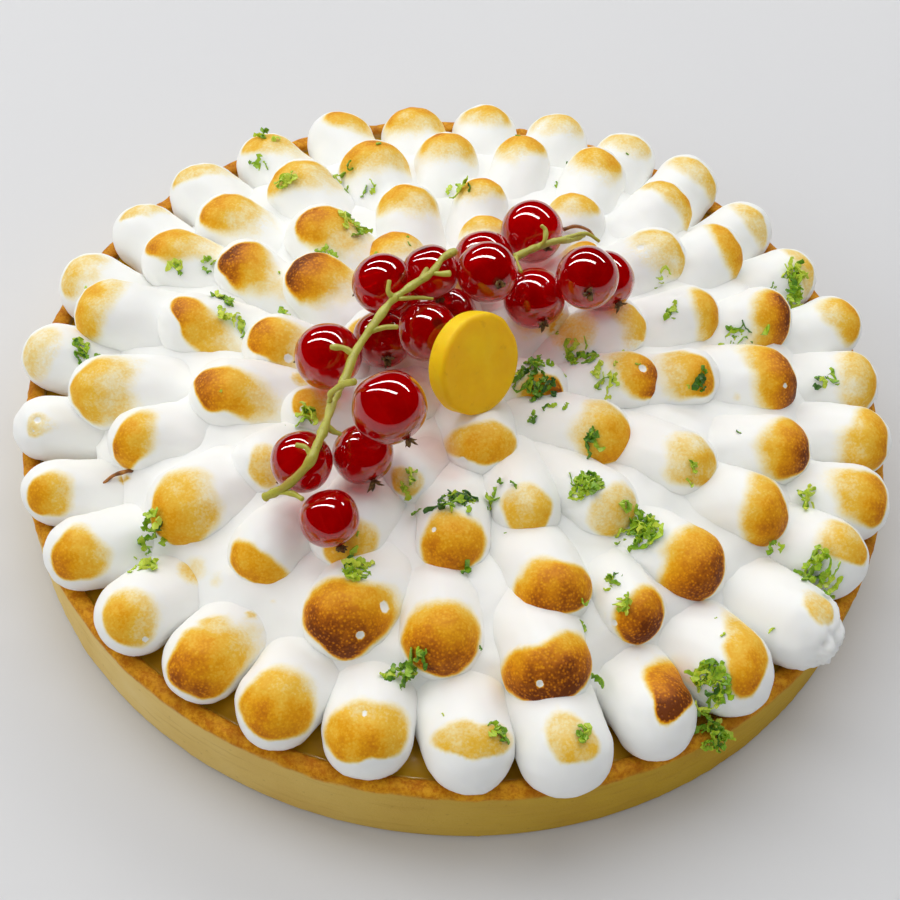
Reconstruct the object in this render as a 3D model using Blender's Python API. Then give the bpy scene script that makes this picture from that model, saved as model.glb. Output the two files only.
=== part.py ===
"""Small lemon meringue pie: a straight-sided shortcrust case, lemon curd, a dome of piped and
torched meringue dollops, two strigs of redcurrants and one round lemon disc standing among them.

Metres, +Z up, the underside of the crust on z = 0, the pie's axis on x = y = 0.
"""

import math

import bmesh
import bpy
import numpy as np

# ---- driving dimensions (metres unless the name says degrees) ----
PIE_RADIUS = 0.0800
CRUST_HEIGHT = 0.0158
CRUST_WALL = 0.0030
CRUST_FLOOR = 0.0030
GAP = 0.0003
CURD_TOP = 0.0140
CORE_RADIUS = 0.0660
# Top of the layer under the dollops: (radius, height) from its edge to the middle.
CORE_CROWN = (
    (CORE_RADIUS, 0.0185), (0.0580, 0.0225), (0.0440, 0.0240), (0.0240, 0.0245), (0.0100, 0.0230),
    (0.0, 0.0225),
)
TAIL_SHARE = 0.60
TAIL_DROP = 0.060
TAIL_WIDEN = 1.55
VOXEL = 0.0011
SEAT_CLEARANCE = 0.0004
SEAT_ALLOWANCE = 0.0020
SEAT_STEP = 0.0008
CUTTER_REACH = 0.1200
CUTTER_DEPTH = 0.0100
PRESS_CLEARANCE = 0.0006
MERINGUE_TRIANGLES = 5200
PRESSED_BELOW_MM = 38.0
SEED = 7

# Rings of dollops from the rim inwards: how many, angle of the first (degrees), uneven steps round
# the ring as (waves, degrees, peak), ring radius / pie radius, uneven radius as (waves, share, peak),
# height of the head's centre, head radius, uneven head radius as (waves, share, peak), tail length,
# the last four as shares of the pie radius too.
RINGS = (
    (30, 285.1, ((1, 3.4, -126), (2, 1.3, -10), (3, 0.5, -49)), 0.911,
     ((1, 0.012, -74), (2, 0.016, 20), (3, 0.013, -55)), 0.236, 0.0856,
     ((1, 0.003, -46), (2, 0.006, -67)), 0.19),
    (23, 285.2, ((1, 1.3, 13), (2, 1.1, -54), (3, 1.3, 41)), 0.728,
     ((1, 0.012, 134), (2, 0.018, 4), (3, 0.039, 57)), 0.292, 0.0836, ((1, 0.003, -160),), 0.20),
    (16, 290.4, ((2, 1.1, -62), (3, 2.2, 16)), 0.544,
     ((2, 0.021, 14), (3, 0.037, 50)), 0.317, 0.0793, ((1, 0.002, -175),), 0.19),
    (11, 285.6, ((1, 6.5, -40), (2, 5.7, -47)), 0.387,
     ((2, 0.011, 35), (3, 0.036, 56)), 0.322, 0.0741, ((2, 0.008, -28),), 0.17),
    (6, 283.0, (), 0.225, (), 0.328, 0.0800, (), 0.12),
    (1, 0.0, (), 0.0, (), 0.332, 0.0800, (), 0.0),
)
# Dollops piped out of line: (ring, number) -> millimetres outwards, degrees round, millimetres
# added to the head's radius.
NUDGES = {
    (0, 0): (1.6, 0.0, 0.0), (0, 1): (0.0, 0.5, 0.0), (0, 4): (-0.7, 0.0, 0.0), (0, 6): (0.0, -0.6, 0.0),
    (0, 7): (0.0, 0.0, -0.5), (0, 8): (0.0, 0.8, -0.4), (0, 9): (0.0, 0.9, 0.0), (0, 10): (0.0, -0.7, 0.4),
    (0, 11): (0.0, -0.7, 0.0), (0, 12): (0.0, 0.0, 0.5), (0, 13): (0.9, 0.0, 0.0), (0, 14): (1.0, 0.0, 0.0),
    (0, 15): (-1.0, 0.0, 0.0), (0, 16): (-0.7, 0.0, 0.0), (0, 19): (1.0, 0.9, 0.0), (0, 20): (-0.9, 0.0, 0.0),
    (0, 21): (-1.2, 0.0, 0.0), (0, 22): (1.1, 0.0, 0.0), (0, 26): (-0.9, 0.8, 0.0), (0, 27): (1.0, 0.0, 0.0),
    (0, 28): (-1.0, 0.0, 0.0), (0, 29): (0.0, 0.0, -0.7), (1, 0): (3.5, -0.9, 0.5), (1, 2): (1.0, 1.4, 0.7),
    (1, 3): (-2.3, 0.0, -0.4), (1, 4): (0.0, 0.0, 0.4), (1, 5): (-1.0, -1.1, -0.8), (1, 6): (1.1, 2.0, 0.0),
    (1, 7): (2.4, 0.0, 0.0), (1, 8): (-1.4, -1.5, -0.4), (1, 9): (-1.2, 0.8, 0.0), (1, 10): (-0.7, 0.0, 0.6),
    (1, 11): (0.0, 0.0, 0.5), (1, 12): (0.9, 0.0, 0.0), (1, 13): (0.0, 0.0, -0.5), (1, 15): (-1.3, 0.0, 0.0),
    (1, 16): (-0.7, 0.9, 0.0), (1, 17): (1.2, -0.9, 0.0), (1, 18): (-1.1, 0.0, 0.6), (1, 19): (2.3, 0.0, 0.0),
    (1, 20): (0.9, 1.1, 0.0), (1, 21): (-3.1, -1.1, 0.0), (1, 22): (-2.3, 0.0, -1.0), (2, 0): (4.6, 0.0, 0.4),
    (2, 1): (-4.2, 1.2, 0.0), (2, 2): (1.8, 0.0, 0.0), (2, 3): (0.0, -1.8, -0.6), (2, 4): (-2.5, 0.0, 0.4),
    (2, 5): (2.5, 0.0, 0.0), (2, 6): (0.0, 0.0, -0.4), (2, 7): (-1.3, 0.0, 0.8), (2, 8): (0.9, -2.4, 0.0),
    (2, 9): (1.6, 2.2, -0.6), (2, 10): (-0.9, 0.0, 0.0), (2, 11): (0.0, -0.8, 0.5), (2, 13): (-0.8, 2.6, -0.5),
    (2, 14): (2.2, 0.0, 0.0), (2, 15): (-4.6, 0.0, 0.0), (3, 0): (1.4, -2.2, 0.0), (3, 1): (-1.4, 2.4, 0.0),
    (3, 2): (0.0, -1.8, 0.0), (3, 4): (0.0, 0.0, 0.5), (3, 6): (1.6, 0.0, 0.0), (3, 8): (-1.4, 0.0, 0.4),
    (3, 9): (2.5, 0.0, -0.5), (3, 10): (-3.3, 0.0, 0.0), (4, 0): (1.3, 0.0, 0.3), (4, 5): (-3.4, 2.5, -1.2),
}
# The sizes and places that the piping hand leaves to chance, as shares of the pie radius or radians.
HEIGHT_CHANCE = 0.005
HEAD_CHANCE = 0.012
SKEW_CHANCE = 0.16
DIP_DEPTH = 0.0045
DIP_CENTRE = (-0.003, 0.003)
DIP_RADIUS = 0.016

# Currants in two layers: x, y and height of the centre, then diameter, all in millimetres.
CURRANTS_MM = (
    (11.0, 27.4, 33.7, 11.9), (2.2, 18.4, 34.4, 10.9), (3.0, 5.0, 44.4, 10.8),
    (20.5, 6.5, 43.9, 11.1), (24.5, 14.0, 35.9, 11.1), (12.0, 9.0, 34.9, 11.2),
    (-15.0, 1.5, 42.9, 10.6), (-7.0, 8.0, 40.1, 10.1), (-3.0, 7.5, 30.4, 9.8),
    (-6.5, -5.0, 38.9, 10.5), (-23.0, -11.0, 36.9, 11.6), (-11.0, -28.0, 45.4, 12.2),
    (-15.0, -29.4, 34.4, 10.3), (-24.6, -33.7, 36.5, 10.2), (-19.0, -42.5, 33.9, 9.7),
    (-14.5, -1.5, 31.9, 10.5), (-13.0, 8.5, 31.9, 9.0),
)

DISC_CENTRE = (0.0033, -0.0122, 0.0396)
DISC_RADIUS = 0.0089
DISC_THICK = 0.0038
DISC_FACING = (0.683, -0.570, 0.453)

# Stems: each path in millimetres with the radius at its start and end; the first is the main stalk.
MAIN_STRIG_MM = (
    (0.85, 0.80, ((-29.5, -40.5, 35.4), (-26, -40, 38.4), (-23, -38, 41.4), (-22, -35.5, 42.4),
                  (-21, -29.5, 41.9), (-20.5, -24.5, 41.4), (-19, -19.5, 41.9), (-18, -15, 42.9),
                  (-16, -10.5, 43.9), (-13.5, -6, 45.4), (-12, -4.5, 46.4), (-9.5, -2, 46.9),
                  (-6.5, 1.5, 46.9), (-5, 5.5, 46.4), (-3, 8, 45.9))),
    (0.60, 0.45, ((-12.5, -4.5, 45.9), (-13.5, -4.5, 47.4), (-13.5, -3, 48.4))),
    (0.70, 0.50, ((-18.5, -15, 42.9), (-20, -14.5, 43.4), (-22, -14.5, 43.4))),
    (0.60, 0.50, ((-15.5, -10.5, 43.9), (-13.5, -9.5, 43.9), (-11.5, -8.7, 43.4))),
    (0.60, 0.65, ((-21, -25, 41.9), (-20.5, -25.5, 44.9), (-18.5, -26.5, 48.4), (-16.7, -27.5, 50.4))),
    (0.60, 0.55, ((-21, -30, 41.9), (-19.7, -30.3, 40.9), (-18.6, -30.3, 40.4))),
    (0.60, 0.45, ((-22.5, -36.5, 41.9), (-23.5, -35.4, 42.7), (-25, -35, 42.6))),
    (0.45, 0.35, ((-11.5, -5, 46.4), (-9, -3.2, 45.1), (-6, -2.4, 44.4))),
    (0.55, 0.50, ((-27.5, -40.5, 36.9), (-25, -41.2, 38), (-23.2, -42.5, 38.6))),
    (0.60, 0.60, ((-6.5, 1.3, 46.8), (-5, 1, 47.1), (-3.5, 1, 47.4))),
    (0.50, 0.45, ((-9, -1.8, 46.9), (-8, 0.5, 46.9), (-7.5, 2.5, 46.4))),
)
SIDE_STRIG_MM = (
    (0.80, 0.60, ((8, 15, 38.9), (11, 17.5, 38.9), (15, 20, 38.9), (18.5, 22.5, 37.4), (20.5, 24.5, 36.9))),
    (0.45, 0.40, ((17, 21.7, 38.4), (20, 24, 37.6), (21.5, 24.5, 37.1), (23.5, 24, 36.1))),
    (0.60, 0.50, ((12, 17.8, 38.9), (13, 18.5, 40.4), (13, 20, 41.4), (12.2, 20.5, 42))),
    (0.50, 0.40, ((8, 15, 38.9), (8.2, 11.5, 40.6), (9, 9.2, 41.2))),
)


# ---- small helpers ----
def material(name, colour, roughness):
    made = bpy.data.materials.new(name)
    made.use_nodes = True
    shader = made.node_tree.nodes["Principled BSDF"]
    shader.inputs["Base Color"].default_value = (*colour, 1.0)
    shader.inputs["Roughness"].default_value = roughness
    return made


def add_object(name, points, faces, look=None):
    mesh = bpy.data.meshes.new(name)
    mesh.from_pydata([tuple(map(float, p)) for p in points], [], [tuple(f) for f in faces])
    mesh.update()
    made = bpy.data.objects.new(name, mesh)
    bpy.context.scene.collection.objects.link(made)
    if look is not None:
        mesh.materials.append(look)
    return made


def revolve(profile, segments):
    """A closed (radius, height) profile turned round Z; profile points on the axis become one vertex."""
    points = []
    rows = []
    for radius, height in profile:
        if radius < 1e-9:
            points.append((0.0, 0.0, height))
            rows.append([len(points) - 1] * segments)
            continue
        row = []
        for k in range(segments):
            angle = 2 * math.pi * k / segments
            points.append((radius * math.cos(angle), radius * math.sin(angle), height))
            row.append(len(points) - 1)
        rows.append(row)
    faces = []
    for lower, upper in zip(rows, rows[1:]):
        for k in range(segments):
            corners = [lower[k], lower[(k + 1) % segments], upper[(k + 1) % segments], upper[k]]
            face = []
            for corner in corners:
                if corner not in face:
                    face.append(corner)
            if len(face) > 2:
                faces.append(face)
    return points, faces


def body_between(start, end, start_radius, end_radius, segments, rings, widen=1.0):
    """A round-ended body from start to end: half spheres of the two radii with a straight cone between,
    the far end drawn out sideways by widen."""
    start = np.array(start, float)
    end = np.array(end, float)
    axis = end - start
    length = np.linalg.norm(axis)
    axis = axis / length if length > 1e-9 else np.array([0.0, 0.0, 1.0])
    side = np.cross(axis, [0.0, 0.0, 1.0])
    if np.linalg.norm(side) < 1e-6:
        side = np.array([1.0, 0.0, 0.0])
    side /= np.linalg.norm(side)
    other = np.cross(axis, side)
    profile = []
    for k in range(rings + 1):
        turn = math.pi / 2 * k / rings
        profile.append((-start_radius * math.cos(turn), start_radius * math.sin(turn)))
    for k in range(rings + 1):
        turn = math.pi / 2 * (1 - k / rings)
        profile.append((length + end_radius * math.cos(turn), end_radius * math.sin(turn)))
    points = []
    rows = []
    for along, radius in profile:
        if radius < 1e-9:
            points.append(start + axis * along)
            rows.append([len(points) - 1] * segments)
            continue
        row = []
        spread = 1 + (widen - 1) * min(max(along / max(length, 1e-9), 0.0), 1.0)
        for k in range(segments):
            angle = 2 * math.pi * k / segments
            sideways = math.cos(angle) * spread * side
            points.append(start + axis * along + radius * (sideways + math.sin(angle) * other))
            row.append(len(points) - 1)
        rows.append(row)
    faces = []
    for lower, upper in zip(rows, rows[1:]):
        for k in range(segments):
            face = []
            for corner in (lower[k], upper[k], upper[(k + 1) % segments], lower[(k + 1) % segments]):
                if corner not in face:
                    face.append(corner)
            if len(face) > 2:
                faces.append(face)
    return points, faces


def joined(pieces):
    points = []
    faces = []
    for some_points, some_faces in pieces:
        base = len(points)
        points.extend(some_points)
        faces.extend([[corner + base for corner in face] for face in some_faces])
    return points, faces


def apply_modifiers(thing):
    """The evaluated shape written back as the object's own mesh, cleaned and facing out."""
    shape = bmesh.new()
    shape.from_object(thing, bpy.context.evaluated_depsgraph_get())
    bmesh.ops.remove_doubles(shape, verts=shape.verts, dist=0.00002)
    bmesh.ops.triangulate(shape, faces=shape.faces)
    bmesh.ops.recalc_face_normals(shape, faces=shape.faces)
    thing.modifiers.clear()
    shape.to_mesh(thing.data)
    shape.free()
    thing.data.update()


def fused(thing, voxel):
    """Overlapping closed bodies made one skin on a fine lattice."""
    remesh = thing.modifiers.new("Fuse", "REMESH")
    remesh.mode = "VOXEL"
    remesh.voxel_size = voxel
    apply_modifiers(thing)


def thinned(thing, triangles):
    count = len(thing.data.polygons)
    if count > triangles:
        thin = thing.modifiers.new("Thin", "DECIMATE")
        thin.ratio = triangles / count
        apply_modifiers(thing)


def cut(thing, cutter):
    step = thing.modifiers.new("Cut", "BOOLEAN")
    step.operation = "DIFFERENCE"
    step.solver = "EXACT"
    step.object = cutter
    apply_modifiers(thing)
    mesh = cutter.data
    bpy.data.objects.remove(cutter, do_unlink=True)
    bpy.data.meshes.remove(mesh)


def keep_largest(thing):
    """Crumbs the cuts leave beside the main body are dropped."""
    shape = bmesh.new()
    shape.from_mesh(thing.data)
    shape.verts.ensure_lookup_table()
    seen = set()
    islands = []
    for vertex in shape.verts:
        if vertex.index in seen:
            continue
        island = [vertex]
        seen.add(vertex.index)
        for one in island:
            for edge in one.link_edges:
                near = edge.other_vert(one)
                if near.index not in seen:
                    seen.add(near.index)
                    island.append(near)
        islands.append(island)
    islands.sort(key=len)
    for island in islands[:-1]:
        bmesh.ops.delete(shape, geom=island, context="VERTS")
    shape.to_mesh(thing.data)
    shape.free()


# ---- the piped layout ----
def waves(angle, terms):
    return sum(size * math.cos(math.radians(count * (angle - peak))) for count, size, peak in terms)


def dollops():
    """Every dollop as head centre, head radius, tail end and tail radius, in metres."""
    random = np.random.default_rng(SEED)
    found = []
    for ring, (count, first, steps, share, swell, height, head, plump, tail) in enumerate(RINGS):
        for k in range(count):
            out, turn, extra = NUDGES.get((ring, k), (0.0, 0.0, 0.0))
            even = first - 360 * k / count
            angle = math.radians(even + waves(even, steps) + turn)
            radius = (share + waves(even, swell)) * PIE_RADIUS + out / 1000
            chance = random.uniform(-1, 1, 3)
            outward = np.array([math.cos(angle), math.sin(angle), 0.0])
            centre = outward * radius
            away = math.hypot(centre[0] - DIP_CENTRE[0], centre[1] - DIP_CENTRE[1])
            dip = DIP_DEPTH * math.exp(-((away / DIP_RADIUS) ** 4))
            centre[2] = (height + HEIGHT_CHANCE * chance[0]) * PIE_RADIUS - dip
            head_share = head + waves(even, plump) + HEAD_CHANCE * head * chance[1]
            head_radius = head_share * PIE_RADIUS + extra / 1000
            skew = SKEW_CHANCE * chance[2]
            inward = -np.array([math.cos(angle + skew), math.sin(angle + skew), 0.0])
            end = centre + inward * tail * PIE_RADIUS - np.array([0.0, 0.0, TAIL_DROP * PIE_RADIUS])
            tail_radius = head_radius * (TAIL_SHARE if tail > 0 else 1.0)
            found.append((centre, head_radius, end, tail_radius))
    return found


for old in list(bpy.data.objects):
    bpy.data.objects.remove(old, do_unlink=True)

# ---- crust: a straight ring of shortcrust with a floor, its rim rounded over ----
OUTER = PIE_RADIUS
INNER = PIE_RADIUS - CRUST_WALL
crust_profile = [
    (0.0, 0.0), (OUTER - 0.0008, 0.0), (OUTER, 0.0008), (OUTER, CRUST_HEIGHT - 0.0009),
    (OUTER - 0.0010, CRUST_HEIGHT), (INNER + 0.0006, CRUST_HEIGHT - 0.0002),
    (INNER, CRUST_HEIGHT - 0.0009), (INNER, CRUST_FLOOR), (0.0, CRUST_FLOOR),
]
add_object("crust", *revolve(crust_profile, 64), material("crust", (0.60, 0.38, 0.14), 0.75))

# ---- curd: fills the case to just under the rim ----
curd_profile = [
    (0.0, CRUST_FLOOR + GAP), (INNER - GAP, CRUST_FLOOR + GAP),
    (INNER - GAP, CURD_TOP), (0.0, CURD_TOP),
]
add_object("curd", *revolve(curd_profile, 64), material("curd", (0.55, 0.36, 0.03), 0.35))

# ---- meringue: the dollops fused with the layer they are piped on ----
core_profile = [(0.0, CURD_TOP - SEAT_ALLOWANCE), (CORE_RADIUS, CURD_TOP - SEAT_ALLOWANCE), *CORE_CROWN]
bodies = [revolve(core_profile, 72)]
for centre, head_radius, end, tail_radius in dollops():
    bodies.append(body_between(centre, end, head_radius, tail_radius, 20, 5, TAIL_WIDEN))
meringue = add_object("meringue", *joined(bodies), material("meringue", (0.88, 0.86, 0.78), 0.6))
fused(meringue, VOXEL)

# The dollops sit flat on the curd and on the rim of the case.
seat_profile = [
    (0.0, -CUTTER_DEPTH), (CUTTER_REACH, -CUTTER_DEPTH), (CUTTER_REACH, CRUST_HEIGHT + SEAT_CLEARANCE),
    (INNER - SEAT_STEP, CRUST_HEIGHT + SEAT_CLEARANCE), (INNER - SEAT_STEP, CURD_TOP + SEAT_CLEARANCE),
    (0.0, CURD_TOP + SEAT_CLEARANCE),
]
cut(meringue, add_object("seat", *revolve(seat_profile, 60)))


# ---- currants: each berry pressed a little into the meringue ----
def berry(centre, radius):
    profile = []
    for k in range(7):
        turn = math.pi * k / 6
        profile.append((radius * math.sin(turn), -radius * math.cos(turn)))
    profile[0] = (0.0, -radius)
    profile[-1] = (0.0, radius)
    points, faces = revolve(profile, 10)
    return [(x + centre[0], y + centre[1], z + centre[2]) for x, y, z in points], faces


def press_berries(clearance):
    for x, y, z, across in CURRANTS_MM:
        if z < PRESSED_BELOW_MM:
            centre = (x / 1000, y / 1000, z / 1000)
            cut(meringue, add_object("press", *berry(centre, across / 2000 + clearance)))


press_berries(PRESS_CLEARANCE)
currant_look = material("currant", (0.30, 0.004, 0.006), 0.12)
for number, (x, y, z, across) in enumerate(CURRANTS_MM, start=1):
    centre = (x / 1000, y / 1000, z / 1000)
    add_object(f"currant_{number:02d}", *berry(centre, across / 2000), currant_look)


# ---- the round lemon disc stands on edge, leaning back on the berries ----
def disc(radius, thickness, grow):
    facing = np.array(DISC_FACING)
    facing /= np.linalg.norm(facing)
    across = np.cross([0.0, 0.0, 1.0], facing)
    across /= np.linalg.norm(across)
    up = np.cross(facing, across)
    bevel = 0.0005
    r = radius + grow
    front = grow
    rear = -thickness - grow
    profile = [
        (0.0, rear), (r - bevel, rear), (r, rear + bevel),
        (r, front - bevel), (r - bevel, front), (0.0, front),
    ]
    points, faces = revolve(profile, 24)
    centre = np.array(DISC_CENTRE)
    return [centre + across * x + up * y + facing * z for x, y, z in points], faces


cut(meringue, add_object("slot", *disc(DISC_RADIUS, DISC_THICK, PRESS_CLEARANCE)))
add_object("lemon_disc", *disc(DISC_RADIUS, DISC_THICK, 0.0), material("lemon_disc", (0.80, 0.50, 0.01), 0.5))
keep_largest(meringue)
thinned(meringue, MERINGUE_TRIANGLES)
press_berries(GAP)
cut(meringue, add_object("slot", *disc(DISC_RADIUS, DISC_THICK, GAP)))
keep_largest(meringue)


# ---- strigs: a stalk with short pedicels reaching for the berries ----
def tube(path_mm, start_radius, end_radius, segments=8):
    """A round tube along a smooth curve through the given points, closed at both ends."""
    knots = np.array(path_mm, float) / 1000
    knots = np.vstack([2 * knots[0] - knots[1], knots, 2 * knots[-1] - knots[-2]])
    line = []
    for k in range(1, len(knots) - 2):
        a, b, c, d = knots[k - 1 : k + 3]
        for t in np.linspace(0, 1, 6)[: (6 if k == len(knots) - 3 else 5)]:
            line.append(0.5 * (2 * b + (c - a) * t + (2 * a - 5 * b + 4 * c - d) * t**2
                               + (3 * b - a - 3 * c + d) * t**3))
    line = np.array(line)
    tangents = np.gradient(line, axis=0)
    tangents /= np.linalg.norm(tangents, axis=1)[:, None]
    side = np.cross(tangents[0], [0.31, 0.17, 0.93])
    points = []
    rows = []
    for k, (place, along) in enumerate(zip(line, tangents)):
        side = side - along * np.dot(side, along)
        side /= np.linalg.norm(side)
        other = np.cross(along, side)
        share = k / (len(line) - 1)
        radius = (start_radius + (end_radius - start_radius) * share) / 1000
        row = []
        for s in range(segments):
            angle = 2 * math.pi * s / segments
            points.append(place + radius * (math.cos(angle) * side + math.sin(angle) * other))
            row.append(len(points) - 1)
        rows.append(row)
    faces = [list(reversed(rows[0])), list(rows[-1])]
    for lower, upper in zip(rows, rows[1:]):
        for s in range(segments):
            faces.append([lower[s], lower[(s + 1) % segments], upper[(s + 1) % segments], upper[s]])
    return points, faces


strig_look = material("strig", (0.42, 0.42, 0.06), 0.5)
for name, paths, triangles in (("main_strig", MAIN_STRIG_MM, 700), ("side_strig", SIDE_STRIG_MM, 280)):
    stalk = add_object(name, *joined([tube(path, a, b) for a, b, path in paths]), strig_look)
    fused(stalk, 0.00025)
    thinned(stalk, triangles)
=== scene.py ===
"""The lemon meringue pie, dressed: shortcrust case, lemon curd, torched meringue, redcurrants on
their strigs, a round lemon disc and lime zest, set on a plain pale floor."""

import math

import bpy
import numpy as np
from mathutils import Matrix, Vector
from mathutils.bvhtree import BVHTree


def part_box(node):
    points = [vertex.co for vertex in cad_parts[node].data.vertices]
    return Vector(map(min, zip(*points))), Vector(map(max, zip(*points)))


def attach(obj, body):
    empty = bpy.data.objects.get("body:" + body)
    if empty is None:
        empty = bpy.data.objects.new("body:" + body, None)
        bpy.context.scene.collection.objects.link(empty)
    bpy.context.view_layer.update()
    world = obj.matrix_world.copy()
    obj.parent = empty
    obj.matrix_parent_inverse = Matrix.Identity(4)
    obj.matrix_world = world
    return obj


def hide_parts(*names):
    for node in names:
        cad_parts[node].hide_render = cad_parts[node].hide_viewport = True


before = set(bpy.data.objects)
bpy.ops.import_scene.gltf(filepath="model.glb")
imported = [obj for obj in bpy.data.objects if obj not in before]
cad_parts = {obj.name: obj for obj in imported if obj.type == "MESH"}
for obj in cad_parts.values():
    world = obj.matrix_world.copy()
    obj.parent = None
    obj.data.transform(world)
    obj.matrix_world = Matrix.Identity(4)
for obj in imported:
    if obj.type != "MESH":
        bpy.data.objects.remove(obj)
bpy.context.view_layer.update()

MM = 0.001

# ---- The case ----
# A straight-sided ring of sweet shortcrust, rolled thin, pressed into a ring and baked blind.
# Its wall shows fine level streaks from the ring and dark specks of vanilla and browned butter;
# the cut rim is a little ragged and browner than the wall.
CASE_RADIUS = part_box("crust")[1][0]
CASE_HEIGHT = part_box("crust")[1][2]
CASE_WALL = 3.0 * MM
CASE_FLOOR = 3.0 * MM
CASE_STEPS_ROUND = 480


def swatch(red, green, blue):
    """A colour given as it looks, 0 to 255, made linear by the screen curve."""
    seen = np.array([red, green, blue]) / 255
    linear = np.where(seen <= 0.04045, seen / 12.92, ((seen + 0.055) / 1.055) ** 2.4)
    return (*linear.tolist(), 1.0)


def unevenness(points, period, seed, waves=16):
    """Smooth rises and falls within about -1 to 1: the mean of sine waves of roughly this period
    that run in random directions through the points."""
    random = np.random.default_rng(seed)
    ways = random.normal(size=(waves, 3))
    ways /= np.linalg.norm(ways, axis=1, keepdims=True)
    pace = 2 * np.pi / period * random.uniform(0.7, 1.4, waves)
    start = random.uniform(0, 2 * np.pi, waves)
    return np.sin(points @ (ways * pace[:, None]).T + start).sum(axis=-1) / math.sqrt(waves)


def skin_points(rings):
    """Vertices of closed skins from an array (bodies, rings, round, 3): every body's first and last
    ring draws in to one point, and the rings between stay whole."""
    bodies = rings.shape[0]
    start = rings[:, 0].mean(axis=1, keepdims=True)
    end = rings[:, -1].mean(axis=1, keepdims=True)
    middle = rings[:, 1:-1].reshape(bodies, -1, rings.shape[-1])
    return np.concatenate([start, middle, end], axis=1).reshape(-1, rings.shape[-1])


def skin_faces(bodies, rows, around):
    """Faces for skin_points: a fan at each end and four-sided faces between, all facing out when
    each ring runs anticlockwise round the way the rings go."""
    inner = rows - 2
    each = inner * around + 2
    step = np.arange(around)
    after = (step + 1) % around
    ring = np.arange(inner)[:, None] * around + 1
    lower, upper = ring[:-1] + step, ring[1:] + step
    quads = np.stack([lower, ring[:-1] + after, ring[1:] + after, upper], axis=-1).reshape(-1, 4)
    low_fan = np.stack([np.zeros_like(step), 1 + after, 1 + step], axis=-1)
    last = 1 + (inner - 1) * around
    high_fan = np.stack([np.full_like(step, each - 1), last + step, last + after], axis=-1)
    fans = np.concatenate([low_fan, high_fan])
    base = np.arange(bodies)[:, None, None] * each
    return (base + quads).reshape(-1, 4), (base + fans).reshape(-1, 3)


def make_piece(name, points, quads, triangles, look, smooth=True):
    """A mesh object from whole arrays of points and faces, riding on the pie."""
    mesh = bpy.data.meshes.new(name)
    mesh.from_pydata(points.tolist(), [], quads.tolist() + triangles.tolist())
    mesh.materials.append(look)
    mesh.shade_smooth() if smooth else mesh.shade_flat()
    piece = bpy.data.objects.new(name, mesh)
    bpy.context.scene.collection.objects.link(piece)
    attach(piece, "root")
    return piece


def turned(profile, around):
    """A profile of (radius, height) turned round the pie's axis, as one body's rings."""
    angle = np.linspace(0, 2 * np.pi, around, endpoint=False)
    radius = profile[:, 0, None]
    ring = np.stack(
        [radius * np.cos(angle), radius * np.sin(angle), np.broadcast_to(profile[:, 1, None], (len(profile), around))],
        axis=-1,
    )
    return ring[None]


def stepped(corners, spacing):
    """Points about this far apart along straight lines through the corners."""
    line = []
    for a, b in zip(corners, corners[1:]):
        count = max(1, round(math.dist(a, b) / spacing))
        line.append(np.linspace(a, b, count, endpoint=False))
    return np.concatenate(line + [np.array(corners[-1:])])


def new_look(name):
    """A node material: its tree, its shader and its Object coordinates."""
    look = bpy.data.materials.new(name)
    look.use_nodes = True
    tree = look.node_tree
    place = tree.nodes.new("ShaderNodeTexCoord").outputs["Object"]
    return look, tree, tree.nodes["Principled BSDF"], place


def put(tree, kind, settings=None, **inputs):
    """One node with its settings; an input is a value or another node's output."""
    made = tree.nodes.new(kind)
    for key, value in (settings or {}).items():
        setattr(made, key, value)
    for key, value in inputs.items():
        socket = made.inputs[int(key[1:])] if key[0] == "i" and key[1:].isdigit() else made.inputs[key]
        if isinstance(value, bpy.types.NodeSocket):
            tree.links.new(value, socket)
        else:
            socket.default_value = value
    return made


def sums(tree, operation, a, b=0.0, c=0.0):
    """A Math node's result."""
    return put(tree, "ShaderNodeMath", {"operation": operation}, i0=a, i1=b, i2=c).outputs[0]


def between(tree, value, low, high):
    """0 where the value is under low, 1 over high, eased between."""
    made = put(tree, "ShaderNodeMapRange", {"interpolation_type": "SMOOTHSTEP"}, Value=value)
    made.inputs["From Min"].default_value = low
    made.inputs["From Max"].default_value = high
    return made.outputs["Result"]


def tinted(tree, share, under, over):
    """One colour laid over another by a share."""
    made = put(tree, "ShaderNodeMix", {"data_type": "RGBA"}, i0=share, i6=under, i7=over)
    return made.outputs[2]


def shades(tree, value, stops):
    """A ramp of colours, each with its place from 0 to 1."""
    made = put(tree, "ShaderNodeValToRGB", Fac=value)
    ramp = made.color_ramp
    while len(ramp.elements) < len(stops):
        ramp.elements.new(0.5)
    for element, (where, colour) in zip(ramp.elements, stops):
        element.position = where
        element.color = colour
    return made.outputs["Color"]


def cloud(tree, place, scale, detail=3.0, roughness=0.55, distortion=0.0):
    """Noise as a value about 0.5."""
    made = put(tree, "ShaderNodeTexNoise", Vector=place, Scale=scale, Detail=detail, Roughness=roughness)
    made.inputs["Distortion"].default_value = distortion
    return made.outputs["Fac"]


def stretched(tree, place, scale):
    """Coordinates scaled by a different amount each way."""
    return put(tree, "ShaderNodeMapping", Vector=place, Scale=scale).outputs["Vector"]


def bumped(tree, height, strength, distance, under=None):
    """A bumped normal from a height of 0 to 1."""
    made = put(tree, "ShaderNodeBump", Height=height, Strength=strength, Distance=distance)
    if under is not None:
        tree.links.new(under, made.inputs["Normal"])
    return made.outputs["Normal"]


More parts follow.
